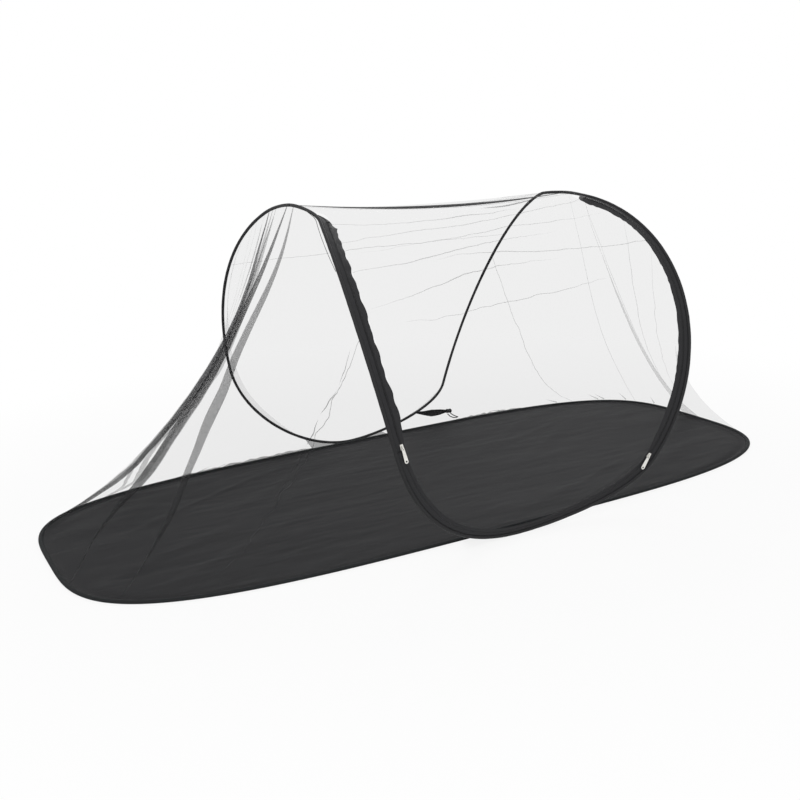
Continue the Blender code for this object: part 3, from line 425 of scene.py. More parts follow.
def rim_point(angle):
    """A point of the floor's outline, a rectangle with full round corners."""
    power = 2.0 / FLOOR_CORNER_POWER
    c, s = math.cos(angle), math.sin(angle)
    x = math.copysign(abs(c) ** power, c) * FLOOR_LENGTH / 2
    y = math.copysign(abs(s) ** power, s) * FLOOR_WIDTH / 2
    return np.array((x, y, RIM_HALF_HEIGHT))


def rim_end(cut):
    """The outline's left end from the back cut round to the front cut, closer where it curves more."""
    fine = [rim_point(math.radians(90.0 + 180.0 * k / RIM_FINE_STEPS)) for k in range(RIM_FINE_STEPS + 1)]
    fine = np.array([point for point in fine if point[0] < -cut])
    fine[0][0] = fine[-1][0] = -cut
    steps = np.diff(fine, axis=0)
    lengths = np.linalg.norm(steps, axis=1)
    turns = np.abs(np.gradient(np.unwrap(np.arctan2(steps[:, 1], steps[:, 0]))))
    along = np.concatenate([[0.0], np.cumsum(lengths / lengths.sum() + turns / turns.sum())])
    return resampled(fine, along, np.linspace(0.0, along[-1], RIM_SIDE_STEPS + 1))


LEFT_ARC = ZipArc(LEFT_ZIP_SHARES, X_AXIS)
RIGHT_ARC = ZipArc(RIGHT_ZIP_SHARES, -X_AXIS)
DIP_ALONG = DIP_ALONG_SHARE * FLOOR_LENGTH / 2
FRONT_DIP = np.array((DIP_ALONG, -(FLOOR_WIDTH / 2 + DIP_FRONT_REACH), SLEEVE_RADIUS))
BACK_DIP = np.array((DIP_ALONG, -(FLOOR_WIDTH / 2 + DIP_BACK_REACH), SLEEVE_RADIUS))
LEFT_APEX, RIGHT_APEX = at_shares(LEFT_APEX_SHARES), at_shares(RIGHT_APEX_SHARES)
SIDES = (("left", LEFT_ARC, LEFT_APEX, X_AXIS), ("right", RIGHT_ARC, RIGHT_APEX, -X_AXIS))
FRONT_LEFT, FRONT_RIGHT, BACK_LEFT, BACK_RIGHT = (
    arch_side(arc, apex, dip, inward, arc_steps, CORNER_PULLS[face + side])
    for face, dip, arc_steps in (("front_", FRONT_DIP, FRONT_ARC_STEPS), ("back_", BACK_DIP, BACK_ARC_STEPS))
    for side, arc, apex, inward in SIDES
)
BACK_LEFT, BACK_RIGHT = BACK_LEFT.mirrored(), BACK_RIGHT.mirrored()
FRONT_HOOP = FRONT_LEFT.then(FRONT_RIGHT.reversed())
BACK_HOOP = BACK_RIGHT.then(BACK_LEFT.reversed())
FRONT_FOOT = FRONT_LEFT.part(ZIP_LOW, DIP).then(FRONT_RIGHT.part(ZIP_LOW, DIP).reversed())
FRONT_SIDES = (("left", FRONT_LEFT), ("right", FRONT_RIGHT))
CORNER_FIRSTS = (
    (FRONT_LEFT, ZIP_LOW), (FRONT_RIGHT, ZIP_LOW), (BACK_LEFT, BACK_LOW), (BACK_RIGHT, BACK_LOW),
)
CUT = float(np.mean([abs(p.points[first + CORNER_STEPS - GUSSET_STEPS][0]) for p, first in CORNER_FIRSTS]))
LEFT_RIM = rim_end(CUT)
RIGHT_RIM = (LEFT_RIM * np.array((-1.0, 1.0, 1.0)))[::-1]


def rim_path():
    """The whole floor outline as a closed path, side pointing in and out pointing up."""
    front = straight(LEFT_RIM[-1], RIGHT_RIM[0], 3 * GUSSET_STEPS + 1)[1:-1]
    back = straight(RIGHT_RIM[-1], LEFT_RIM[0], 3 * GUSSET_STEPS + 1)[1:-1]
    points = np.concatenate([LEFT_RIM, front, RIGHT_RIM, back])
    around = np.roll(points, -1, axis=0) - np.roll(points, 1, axis=0)
    up = np.tile(Z_AXIS, (len(points), 1))
    return Path(points, unit(np.cross(up, unit(around))), up)


RIM = rim_path()


class Nodes:
    """A node tree and the calls that build it."""

    def __init__(self, tree):
        self.tree = tree

    def node(self, kind, output=0, settings=None, **inputs):
        """A node with its inputs set or linked, by name with _ for a space, or by i and a number.

        Returns one of its outputs.
        """
        made = self.tree.nodes.new(kind)
        for key, value in (settings or {}).items():
            setattr(made, key, value)
        for key, value in inputs.items():
            numbered = key[0] == "i" and key[1:].isdigit()
            self.join(value, made.inputs[int(key[1:]) if numbered else key.replace("_", " ")])
        return made.outputs[output]

    def join(self, value, socket):
        """Links an output to a socket, or sets the socket's own value."""
        if isinstance(value, bpy.types.NodeSocket):
            self.tree.links.new(value, socket)
        else:
            socket.default_value = value

    def math(self, operation, *values):
        """The result of one operation on values."""
        inputs = {f"i{index}": value for index, value in enumerate(values)}
        return self.node("ShaderNodeMath", 0, {"operation": operation}, **inputs)

    def seen_white(self, seen, lit):
        """Mixes what the camera and mirrors see with what lights the object, by the kind of ray."""
        rays = self.tree.nodes.new("ShaderNodeLightPath").outputs
        either = self.math("MAXIMUM", rays["Is Camera Ray"], rays["Is Glossy Ray"])
        share = self.math("MAXIMUM", either, rays["Is Transmission Ray"])
        return self.node("ShaderNodeMixShader", i0=share, i1=lit, i2=seen)


class Look(Nodes):
    """A material: one Principled shader and the nodes that drive it."""

    def __init__(self, name, roughness=0.6, metallic=0.0, specular=0.5):
        self.material = bpy.data.materials.new(name)
        self.material.use_nodes = True
        super().__init__(self.material.node_tree)
        self.shader = self.tree.nodes["Principled BSDF"]
        self.set("Roughness", roughness)
        self.set("Metallic", metallic)
        self.set("Specular IOR Level", specular)

    def set(self, name, value):
        """Drives one of the shader's sockets."""
        self.join(value, self.shader.inputs[name])

    def place(self, scale=(1.0, 1.0, 1.0), uv=False, turn=(0.0, 0.0, 0.0)):
        """Object coordinates, or the mesh's own in metres along and across, scaled."""
        source = self.node("ShaderNodeTexCoord", output="UV" if uv else "Object")
        return self.node("ShaderNodeMapping", Vector=source, Scale=scale, Rotation=turn)

    def noise(self, scale, vector=None, detail=3.0, roughness=0.5, distortion=0.0):
        """A noise value from 0 to 1."""
        vector = self.place() if vector is None else vector
        return self.node(
            "ShaderNodeTexNoise", Vector=vector, Scale=scale, Detail=detail, Roughness=roughness,
            Distortion=distortion,
        )

    def weave(self, scale, uv=False):
        """The height of threads that cross."""
        kind, inputs = "ShaderNodeTexWave", {"Vector": self.place(uv=uv), "Scale": scale}
        return self.sum(*(self.node(kind, 1, {"bands_direction": way}, **inputs) for way in "XY"))

    def sum(self, first, second, share=1.0):
        """The first value plus a share of the second."""
        return self.math("MULTIPLY_ADD", second, share, first)

    def times(self, first, second):
        """Two values multiplied."""
        return self.math("MULTIPLY", first, second)

    def paint(self, tone, dark, light, dullness, low, high):
        """Drives the colour between dark and light by one value, and the roughness by another."""
        colours = {"i6": (*dark, 1.0), "i7": (*light, 1.0)}
        self.set("Base Color", self.node("ShaderNodeMix", 2, {"data_type": "RGBA"}, i0=tone, **colours))
        self.set("Roughness", self.node("ShaderNodeMapRange", i0=dullness, i3=low, i4=high))

    def bump(self, height, strength, distance):
        """Bump from a height value."""
        self.set("Normal", self.node("ShaderNodeBump", Height=height, Strength=strength, Distance=distance))


def net_look(name, alpha, dark=(0.020, 0.020, 0.021), light=(0.042, 0.041, 0.043)):
    """Sheer black netting: the threads cover the same share of it all over."""
    look = Look(name, roughness=0.75, specular=0.12)
    patch = look.noise(14.0, detail=4.0)
    look.paint(patch, dark, light, patch, 0.62, 0.85)
    edges = {"feature": "DISTANCE_TO_EDGE"}
    cells = look.node("ShaderNodeTexVoronoi", 0, edges, Vector=look.place(), Scale=700.0)
    look.bump(cells, 0.3, 0.0003)
    look.set("Alpha", alpha)
    return look.material


def floor_look():
    """Thin dark satin, a little uneven in dye and shine, creased from its time in the bag, with painted shade
    darker along the creases.
    """
    look = Look("floor_satin", specular=0.016)
    cloud = look.noise(5.0, detail=5.0, roughness=0.6)
    slanted = look.place(scale=(0.22, 1.0, 1.0), turn=(0.0, 0.0, 0.35))
    crease_bump_and_shade = look.noise(22.0, slanted, detail=5.0, distortion=0.6)
    # The cloud is uneven dye; the slanted creases' low lines are painted darker, as painted shade
    tone = look.sum(look.times(cloud, 0.6), crease_bump_and_shade, 0.4)
    look.paint(tone, (0.026, 0.026, 0.027), (0.044, 0.044, 0.046), tone, 0.38, 0.56)
    look.bump(look.sum(look.times(look.weave(120.0), 0.02), crease_bump_and_shade), 0.5, 0.006)
    return look.material


def tape_look(name, dark, light, threads=1500.0, specular=0.16):
    """Woven tape with a number of threads to a metre, and a darker worn patch here and there."""
    look = Look(name, specular=specular)
    patch = look.noise(60.0, look.place(uv=True), detail=4.0)
    fine = look.noise(600.0, look.place(scale=(0.3, 1.0, 1.0), uv=True), detail=2.0)
    look.paint(look.sum(look.times(patch, 0.65), fine, 0.35), dark, light, patch, 0.5, 0.72)
    look.bump(look.weave(threads / 20.0, uv=True), 0.35, 0.0002)
    return look.material


def metal_look(name, colour, low, high):
    """Plated cast metal with fine scratches."""
    look = Look(name, metallic=1.0)
    grain = look.noise(420.0, look.place(scale=(1.0, 0.15, 1.0)), detail=3.0)
    cloud = look.noise(160.0, detail=2.0)
    look.paint(cloud, tuple(0.82 * part for part in colour), colour, grain, low, high)
    look.bump(grain, 0.06, 0.0001)
    return look.material


def plastic_look(name, dark, light, roughness=0.5):
    """Moulded or extruded plastic with a fine grain."""
    look = Look(name, specular=0.25)
    grain = look.noise(900.0, detail=2.0)
    cloud = look.noise(90.0, detail=3.0)
    look.paint(cloud, dark, light, cloud, roughness - 0.06, roughness + 0.1)
    look.bump(grain, 0.1, 0.0001)
    return look.material


NET = net_look("netting", NET_ALPHA)
SEAM_NET = net_look("seam_netting", SEAM_ALPHA)
# The gathered and bunched netting are the same black netting painted lighter: painted light that makes up for
# the shade their layers cast on each other
GATHERED = net_look("gathered_netting_painted_lighter", GATHERED_ALPHA, (0.074, 0.074, 0.076), (0.108, 0.107, 0.110))
BUNCHED = net_look("bunched_netting_painted_lighter", BUNCHED_ALPHA, (0.058, 0.058, 0.060), (0.090, 0.089, 0.092))
FLOOR = floor_look()
SLEEVE = tape_look("sleeve_fabric", (0.020, 0.020, 0.021), (0.036, 0.036, 0.038), 1800.0)
RIM_CLOTH = tape_look("rim_fabric", (0.018, 0.019, 0.020), (0.032, 0.034, 0.035), 1500.0, specular=0.04)
TAPE = tape_look("zip_tape", (0.018, 0.018, 0.020), (0.038, 0.038, 0.040), 1300.0)
WEBBING = tape_look("webbing", (0.012, 0.012, 0.013), (0.026, 0.026, 0.027), 700.0)
CHAIN = plastic_look("nylon_chain", (0.012, 0.012, 0.013), (0.026, 0.026, 0.028))
TOGGLE = plastic_look("toggle_plastic", (0.014, 0.014, 0.015), (0.030, 0.030, 0.032))
SLIDER = metal_look("slider_metal", (0.86, 0.85, 0.81), 0.18, 0.34)
WIRE = metal_look("spring_wire", (0.50, 0.50, 0.52), 0.25, 0.40)


def add_mesh(name, points, faces, uvs, material, body, slot, replaces=(), thickness=0.0, gathered=()):
    """One piece with smooth faces and a UV in metres for each vertex.

    It rides on one body, or else has its place baked into its points. A net also has the looks of its
    gathered faces.
    """
    mesh = bpy.data.meshes.new(name)
    mesh.from_pydata([tuple(p) for p in points], [], faces)
    layer = mesh.uv_layers.new(name="metres")
    corners = np.zeros(len(mesh.loops), dtype=np.int64)
    mesh.loops.foreach_get("vertex_index", corners)
    layer.data.foreach_set("uv", np.asarray(uvs, dtype=np.float32)[corners].ravel())
    for look in (material, GATHERED, BUNCHED) if len(gathered) else (material,):
        mesh.materials.append(look)
    if len(gathered):
        mesh.polygons.foreach_set("material_index", np.asarray(gathered, dtype=np.int32))
    mesh.shade_smooth()
    piece = bpy.data.objects.new(name, mesh)
    bpy.context.scene.collection.objects.link(piece)
    if thickness:
        solid = piece.modifiers.new("thickness", "SOLIDIFY")
        solid.thickness = thickness
        solid.offset = 0.0
    if isinstance(body, str):
        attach(piece, body)
    else:
        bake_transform(piece)
    if replaces:
        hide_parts(*replaces)
    return piece


def grid_uvs(grid):
    """Metres along and across for each point of a grid."""
    along = np.tile(lengths_along(grid, 1).mean(axis=0), (grid.shape[0], 1))
    return np.stack([along, lengths_along(grid, 0)], axis=-1).reshape(-1, 2)


def grid_faces(rows, columns, around=False, closed=False):
    """Four-sided faces of a grid, with its rows or its columns joined into rings where asked."""
    faces = []
    for r in range(rows if around else rows - 1):
        for c in range(columns if closed else columns - 1):
            a, b = r * columns + c, r * columns + (c + 1) % columns
            lift = ((r + 1) % rows) * columns
            faces.append((a, b, lift + (c + 1) % columns, lift + c))
    return faces


def add_sheet(name, grid, look, body, slot, nodes, held=None, rests_on=(), **more):
    """A sheet from a grid of points. Where it is said how it is held, its flat size is worked out."""
    faces = grid_faces(*grid.shape[:2])
    piece = add_mesh(name, grid.reshape(-1, 3), faces, grid_uvs(grid), look, body, slot, nodes, **more)
    if held:
        declare_sheet(piece)
    return piece


def add_tube(name, path, section, *place, closed=False, **more):
    """A tube: a section of across and out pairs, or one for each station, swept along a path."""
    section = np.asarray(section)
    if section.ndim == 2:
        section = np.tile(section, (len(path.points), 1, 1))
    grid = np.stack([path.line(section[:, k, 0], section[:, k, 1]) for k in range(section.shape[1])])
    rows, columns = grid.shape[:2]
    faces = grid_faces(rows, columns, around=True, closed=closed)
    if not closed:
        faces.append(tuple(r * columns for r in range(rows)))
        faces.append(tuple(r * columns + columns - 1 for r in reversed(range(rows))))
    return add_mesh(name, grid.reshape(-1, 3), faces, grid_uvs(grid), *place, **more)


def declare_sheet(piece):
    """Works out the size that a sheet was cut to, measured on its own surface, and does nothing more with it.
    """
    uvs = np.zeros(len(piece.data.loops) * 2, dtype=np.float32)
    piece.data.uv_layers[0].data.foreach_get("uv", uvs)
    width, length = (max(LEAST_FLAT, float(size)) for size in np.ptp(uvs.reshape(-1, 2), axis=0))
    area = sum(polygon.area for polygon in piece.data.polygons)
    area = min(max(area, LEAST_AREA_SHARE * width * length), width * length)


def interpolated(grid, u, v):
    """Points of a grid at column shares u and row shares v."""
    rows, columns = grid.shape[:2]
    x = np.clip(u, 0.0, 1.0) * (columns - 1)
    y = np.clip(v, 0.0, 1.0) * (rows - 1)
    c = np.minimum(x.astype(int), columns - 2)
    r = np.minimum(y.astype(int), rows - 2)
    x, y = (x - c)[..., None], (y - r)[..., None]
    low = grid[r, c] * (1 - x) + grid[r, c + 1] * x
    high = grid[r + 1, c] * (1 - x) + grid[r + 1, c + 1] * x
    return low * (1 - y) + high * y


def surface_normals(grid):
    """Unit normals at a grid's points."""
    return unit(np.cross(np.gradient(grid, axis=0), np.gradient(grid, axis=1)))


def rough(places, frequency, seed):
    """Smooth irregular values between about -1 and 1 at places."""
    return np.array([1.7 * noise.noise((frequency * float(x), seed, 0.37)) for x in np.ravel(places)])


class Pleat:
    """A fold of netting: its route as column shares at row shares, its reach in metres at even row shares
    from the first row to the last, and how many times the net turns over and back in it.

    A flat pleat lies over on itself. A standing one comes off the net's outer side. Its faces are plain net
    (dense 0), gathered (1) or bunched (2).
    """

    def __init__(self, route, reach, folds=1, standing=False, dense=1, spread=0.0, waver=0.0, seed=1.0):
        self.route, self.reach, self.folds, self.standing = route, reach, folds, standing
        self.dense, self.spread, self.waver, self.seed = dense, spread, waver, seed

    def columns(self, v, length):
        """Column shares and lifts of each turn at row shares v."""
        middle = np.pad(columns_at(self.route, v), ROUTE_SMOOTHING, mode="reflect", reflect_type="odd")
        window = 2 * ROUTE_SMOOTHING + 1
        middle = np.convolve(middle, np.ones(window) / window, "valid")
        waver = rough(v, WAVER_BENDS, self.seed) + 0.5 * rough(v, WAVER_KINKS, self.seed)
        middle = middle + self.waver * waver / length
        reach = np.interp(v, even(len(self.reach)), self.reach)
        opened = np.minimum(1.0, reach / OPEN_REACH)
        turns = 2 * self.folds + 1
        places = []
        for turn in range(turns):
            tip = turn % 2 == 1
            loose = 0.5 + 0.5 * rough(v, LOOSE_BENDS, self.seed + turn) + 0.3 * rough(turn, 2.3, 5.0)
            stray = self.spread * np.clip(loose, 0.0, 1.0)
            if self.standing:
                across = (turn - turns / 2) * LAYER_STEP * opened
                lift = reach * (1.0 - stray) if tip else FOOT_STRAY * reach * stray
            else:
                across = reach * (0.5 - stray if tip else stray - 0.5)
                lift = turn * NET_LAYER_GAP * opened
            places.append((middle + across / length, lift))
        return places


def pleated(grid, pleats, between, rows):
    """A net laid in pleats and its gathered faces. The base grid is walked forwards and back at each one."""
    normals = surface_normals(grid)
    v = even(rows)
    length = np.linalg.norm(np.diff(grid, axis=1), axis=2).sum(axis=1)
    length = np.interp(v, even(len(length)), length)
    folds = [(pleat, pleat.columns(v, length)) for pleat in pleats]
    folds.sort(key=lambda fold: float(np.mean(fold[1][0][0])))
    last = np.zeros(rows)
    shares, lifts, dense = [], [], []
    for pleat, columns in folds + [(None, [(np.ones(rows), np.zeros(rows))])]:
        leftmost = np.min([share for share, _ in columns], axis=0)
        shift = np.maximum(last + GAP / length - leftmost, 0.0) * (pleat is not None)
        count = max(2, int(between * np.mean(leftmost + shift - last)))
        for step in range(count):
            shares.append(last + (columns[0][0] + shift - last) * step / count)
            lifts.append(np.zeros(rows))
            dense.append(0)
        for turn, (share, lift) in enumerate(columns):
            shares.append(share + shift)
            lifts.append(lift)
            dense.append(int(pleat.dense) if pleat is not None and turn + 1 < len(columns) else 0)
        last = np.max([share for share, _ in columns], axis=0) + shift
    u = np.clip(np.array(shares).T, 0.0, 1.0)
    down = np.tile(v[:, None], (1, u.shape[1]))
    lift = np.array(lifts).T[:, :, None]
    laid = interpolated(grid, u, down) + lift * interpolated(normals, u, down)
    return laid, np.tile(dense[:-1], rows - 1)


def add_net(name, grid, pleats, size, body, node, *declared):
    """A net with its pleats, size being its plain columns and its rows."""
    laid, gathered = pleated(grid, pleats, *size)
    return add_sheet(name, laid, NET, body, "netting", (node,), *declared, gathered=gathered)


def along_rim(rim, count):
    """Points spread along the outline."""
    return resampled(rim, np.arange(len(rim)), np.linspace(0.0, len(rim) - 1, count))


def columns_at(route, v):
    """A route's column shares at row shares v."""
    columns, rows = zip(*sorted(route, key=lambda place: place[1]))
    return np.interp(v, rows, columns)


def sleeve_points(arch, feet):
    """Where straight lines from the feet meet the sleeve round the arch's wire."""
    tangents = unit(np.gradient(arch.points, axis=0))
    return arch.points + SLEEVE_RADIUS * square_to(feet - arch.points, tangents)


def hung(ruled, pulls):
    """How a net hangs off the straight lines between its floor and its arch, in balance between its pulls."""
    rows, columns = ruled.shape[0] - 2, ruled.shape[1] - 2
    around = np.interp(np.arange(1, rows + 1), (0, rows + 1), pulls) * ((columns + 1) / (rows + 1)) ** 2
    down, along = (2.0 * np.eye(n) - np.eye(n, k=1) - np.eye(n, k=-1) for n in (rows, columns))
    matrix = np.kron(down, np.eye(columns)) + np.kron(np.diag(around), along)
    held = np.zeros((rows, columns, 3))
    held[0] += ruled[0, 1:-1]
    held[-1] += ruled[-1, 1:-1]
    held[:, 0] += around[:, None] * ruled[1:-1, 0]
    held[:, -1] += around[:, None] * ruled[1:-1, -1]
    offset = np.zeros_like(ruled)
    offset[1:-1, 1:-1] = np.linalg.solve(matrix, held.reshape(-1, 3)).reshape(rows, columns, 3)
    offset[1:-1, 1:-1] -= ruled[1:-1, 1:-1]
    return offset


def end_grid(end, front, back, rim):
    """The base surface of one end's net: rows from the floor to the arch, columns from back to front."""
    inner = CORNER_STEPS - GUSSET_STEPS
    arch = back.part(0, BACK_LOW + inner).reversed().then(front.part(0, ZIP_LOW + inner))
    feet = along_rim(rim, len(arch.points)) + (RIM_HALF_HEIGHT + GAP) * Z_AXIS
    tops = sleeve_points(arch, feet)
    offset = hung(straight(feet[::2], tops[::2], COARSE_ROWS), END_PULLS[end])
    fine = straight(feet, tops, FINE_ROWS)
    u, v = np.meshgrid(even(fine.shape[1]), even(FINE_ROWS))
    grid = fine + interpolated(offset, u, v)
    fade = np.sin(math.pi * v) * np.sin(math.pi * u)
    wave = np.sin(2.0 * math.pi * END_FOLD_COUNT * u)
    return grid + (END_FOLD * fade * wave)[:, :, None] * surface_normals(grid)


# The long end's folds: the two bands beside the apex, the bunch at the back's outline and the front's crease
BAND_OUTER = (
    (0.372, 1.0), (0.378, 0.9), (0.384, 0.85), (0.386, 0.764), (0.398, 0.68), (0.407, 0.62), (0.418, 0.542),
    (0.421, 0.493), (0.426, 0.417), (0.440, 0.35), (0.463, 0.28), (0.52, 0.12), (0.565, 0.0),
)
BAND_INNER = (
    (0.390, 1.0), (0.402, 0.95), (0.422, 0.861), (0.430, 0.76), (0.437, 0.694), (0.447, 0.628),
    (0.468, 0.576), (0.503, 0.528), (0.534, 0.476), (0.557, 0.417), (0.575, 0.347), (0.598, 0.288),
    (0.660, 0.139), (0.71, 0.0),
)
BUNCH = (
    (0.330, 1.0), (0.333, 0.9), (0.342, 0.8), (0.354, 0.7), (0.366, 0.6), (0.372, 0.5), (0.370, 0.4),
    (0.358, 0.3), (0.320, 0.2), (0.26, 0.06), (0.24, 0.0),
)
# Reach from the floor to the arch
BUNCH_REACH = (0.006, 0.012, 0.015, 0.019, 0.011, 0.002)
BAND_OUTER_REACH = (0.001, 0.004, 0.014, 0.026, 0.026, 0.025, 0.022, 0.019, 0.014, 0.008, 0.0015)
BAND_INNER_REACH = (0.001, 0.004, 0.014, 0.026, 0.028, 0.027, 0.024, 0.020, 0.016, 0.009, 0.0015)
# Behind the outline the bunch spreads towards the floor in three parts: the route and the reach of each
TAILS = (
    (((0.318, 1.0), (0.322, 0.8), (0.334, 0.65), (0.340, 0.56), (0.340, 0.434), (0.332, 0.347),
      (0.312, 0.281), (0.256, 0.174), (0.185, 0.024), (0.180, 0.0)),
     (0.012, 0.034, 0.046, 0.014, 0.003, 0.001)),
    (((0.306, 1.0), (0.306, 0.8), (0.304, 0.6), (0.302, 0.45), (0.292, 0.35), (0.268, 0.25),
      (0.230, 0.174), (0.172, 0.024), (0.168, 0.0)),
     (0.012, 0.040, 0.056, 0.016, 0.003, 0.001)),
    (((0.298, 1.0), (0.290, 0.8), (0.276, 0.6), (0.266, 0.47), (0.258, 0.36), (0.234, 0.23),
      (0.200, 0.13), (0.160, 0.024), (0.156, 0.0)),
     (0.010, 0.036, 0.040, 0.010, 0.002, 0.001)),
)
FRONT_CREASE = (
    (0.703, 0.99), (0.711, 0.95), (0.724, 0.88), (0.729, 0.78), (0.736, 0.7), (0.745, 0.62), (0.755, 0.52),
    (0.761, 0.40), (0.771, 0.32), (0.784, 0.22), (0.797, 0.12), (0.803, 0.0),
)
STREAKS = (
    ((0.285, 0.985), (0.250, 0.96), (0.215, 0.93), (0.195, 0.88), (0.185, 0.80)),
    ((0.290, 0.97), (0.305, 0.88), (0.322, 0.79)),
    ((0.305, 0.975), (0.318, 0.89), (0.329, 0.816), (0.350, 0.726)),
    ((0.330, 0.975), (0.343, 0.90), (0.356, 0.833), (0.374, 0.73)),
)


def shifted(route, top, foot):
    """A route moved over, by one share at the arch and another at the floor."""
    return [(u + foot + (top - foot) * v, v) for u, v in route]


def stroke(route, width, folds=1, seed=1.0, waver=0.004):
    """A crease that swells and fades between the two ends of its route."""
    low, high = min(v for _, v in route), max(v for _, v in route)
    share = np.clip((even(81) - low) / (high - low), 0.0, 1.0)
    return Pleat(route, width * np.sqrt(np.sin(math.pi * share)), folds, waver=waver, seed=seed)


def branches(route, first, last, count, reach, seed):
    """Short creases that leave a long one and fade, all in one pleat beside it."""
    v = even(121)
    steps = np.clip((v - first) / (last - first), 0.0, 0.9999) * count
    phase = steps % 1.0
    lean = BRANCH_LEAN + BRANCH_LEAN_VARIES * rough(np.floor(steps), 1.7, seed)
    away = BRANCH_START + lean * phase
    swell = reach * np.sin(math.pi * np.clip(phase / BRANCH_LENGTH, 0.0, 1.0)) ** 0.7
    return Pleat(list(zip(columns_at(route, v) - away, v)), swell, 2, waver=0.004, spread=0.4, seed=seed)


# How a tuft at the floor fades up the net
FADE_PLACES = even(41)
FOOT_FADE = np.maximum(0.0, 1.0 - FADE_PLACES / 0.07)


def foot_tufts(places, seed):
    """Short folds that stand up from the floor's edge, where the net is gathered into its seam."""
    return [
        Pleat([(u, 0.0), (u + TUFT_LEAN, 1.0)], TUFT_REACH * FOOT_FADE, standing=True, seed=seed + k)
        for k, u in enumerate(places)
    ]


def add_left_net():
    """The long end's net, with the folds that its slack hangs in."""
    up = dict(standing=True)
    beside, between = shifted(BUNCH, 0.016, 0.02), shifted(BUNCH, 0.008, 0.01)
    pleats = [
        Pleat(BAND_INNER, BAND_INNER_REACH, 2, spread=0.10, seed=1.0, **up),
        Pleat(BAND_OUTER, BAND_OUTER_REACH, 3, spread=0.12, seed=2.0, **up),
        Pleat(beside, (0.002, 0.006, 0.024, 0.038, 0.018, 0.001), 1, spread=0.2, seed=3.0, **up),
        Pleat(between, (0.006, 0.016, 0.024, 0.032, 0.016, 0.002), 1, spread=0.6, seed=4.0, **up),
        Pleat(BUNCH, BUNCH_REACH, spread=0.3, waver=0.003, seed=5.0, dense=2, **up),
        *(Pleat(*tail, spread=0.3, seed=6.0 + k, waver=0.004) for k, tail in enumerate(TAILS)),
        *(stroke(route, 0.006, 2, 20.0 + k, 0.010) for k, route in enumerate(STREAKS)),
        Pleat(FRONT_CREASE, (0.002, 0.003, 0.004), 2, waver=0.007, spread=0.4, seed=9.0),
        branches(FRONT_CREASE, 0.40, 0.98, 5, 0.005, 70.0),
        stroke([(0.60, 0.27), (0.68, 0.0)], 0.002, 1, 10.0),
        *foot_tufts((0.02, 0.035, 0.062, 0.078, 0.095), 60.0),
    ]
    grid = end_grid("left", FRONT_LEFT, BACK_LEFT, LEFT_RIM)
    add_end_net("long_end_net", grid, pleats, LONG_END_SIZE, "left_end_net")


def add_right_net():
    """The short end's net, with the creases that run down from the arch."""
    thin = (0.0022, 0.0018, 0.0014)
    pleats = [
        Pleat([(0.222, 1.0), (0.228, 0.86), (0.233, 0.6), (0.222, 0.3), (0.205, 0.0)], thin, waver=0.002),
        Pleat([(0.389, 1.0), (0.398, 0.85), (0.396, 0.7), (0.387, 0.23), (0.372, 0.0)], thin, seed=12.0),
        Pleat(
            [(0.424, 1.0), (0.439, 0.84), (0.45, 0.69), (0.461, 0.51), (0.489, 0.12), (0.495, 0.0)],
            (0.040, 0.032, 0.020, 0.010, 0.003, 0.0015), 2, dense=0, seed=13.0,
        ),
        Pleat([(0.43, 1.0), (0.445, 0.84), (0.468, 0.51), (0.49, 0.2), (0.50, 0.0)], thin, seed=14.0),
        stroke([(0.512, 0.97), (0.509, 0.67), (0.492, 0.46), (0.485, 0.1)], 0.0035, 1, 15.0),
        stroke([(0.568, 0.95), (0.567, 0.72), (0.554, 0.5), (0.520, 0.23), (0.51, 0.1)], 0.002, 1, 16.0),
        *foot_tufts((0.105, 0.18, 0.26, 0.275, 0.34, 0.43), 90.0),
    ]
    grid = end_grid("right", FRONT_RIGHT, BACK_RIGHT, RIGHT_RIM[::-1])
    add_end_net("short_end_net", grid, pleats, SHORT_END_SIZE, "right_end_net")


def add_end_net(name, grid, pleats, size, node):
    """One end's net, gathered between the floor and both sleeves."""
    add_net(name, grid, pleats, size, "tent", node, "gathered", ["floor_rim", "front_sleeve", "back_sleeve"])


def ridge_end(edge, offset):
    """Puts the first point of a net's edge beside the ridge line, on the net's own side of it."""
    edge = edge.copy()
    share = (edge[0][0] - LEFT_APEX[0]) / (RIGHT_APEX[0] - LEFT_APEX[0])
    edge[0] = LEFT_APEX + share * (RIGHT_APEX - LEFT_APEX) + math.copysign(offset, edge[1][1]) * Y_AXIS
    return edge


def ridge_drop(share):
    """How far the slack ridge hangs below the straight line between the arches."""
    return RIDGE_SAG * 4.0 * share * (1.0 - share)


def barrel_grid(left_edge, right_edge):
    """Netting stretched between two edges: rows along the ridge's direction, columns down from the ridge."""
    grid = straight(left_edge, right_edge, BARREL_ROWS)
    share = even(BARREL_ROWS)[:, None]
    down = even(left_edge.shape[0])
    arch = np.sin(math.pi * share)
    slack = ROOF_SAG * arch * np.sin(math.pi * down)[None, :]
    wave = ROOF_FOLD * arch * np.sin(2.0 * math.pi * ROOF_FOLD_COUNT * down)[None, :]
    inward = np.array((0.0, 0.0, BARREL_AXIS_SHARE * ARCH_HEIGHT)) - grid
    inward[:, :, 0] = 0.0
    drop = ridge_drop(share) * np.exp(-down / RIDGE_SAG_REACH)[None, :] * (1.0 - down)[None, :]
    return grid + (slack + wave)[:, :, None] * unit(inward) - drop[:, :, None] * Z_AXIS


def crease(route, reach, **more):
    """A fold of the roof or the door. Its route goes from the left arch to the right one."""
    return Pleat(route, reach, waver=0.003, **more)


# How the roof's gathers grow towards the short end's arch, and how its one tuft swells just before it
ROOF_FADE = np.maximum(0.0, (FADE_PLACES - 0.80) / 0.20)
ROOF_TUFT = np.maximum(0.0, 1.0 - np.abs(FADE_PLACES - 0.95) / 0.13)
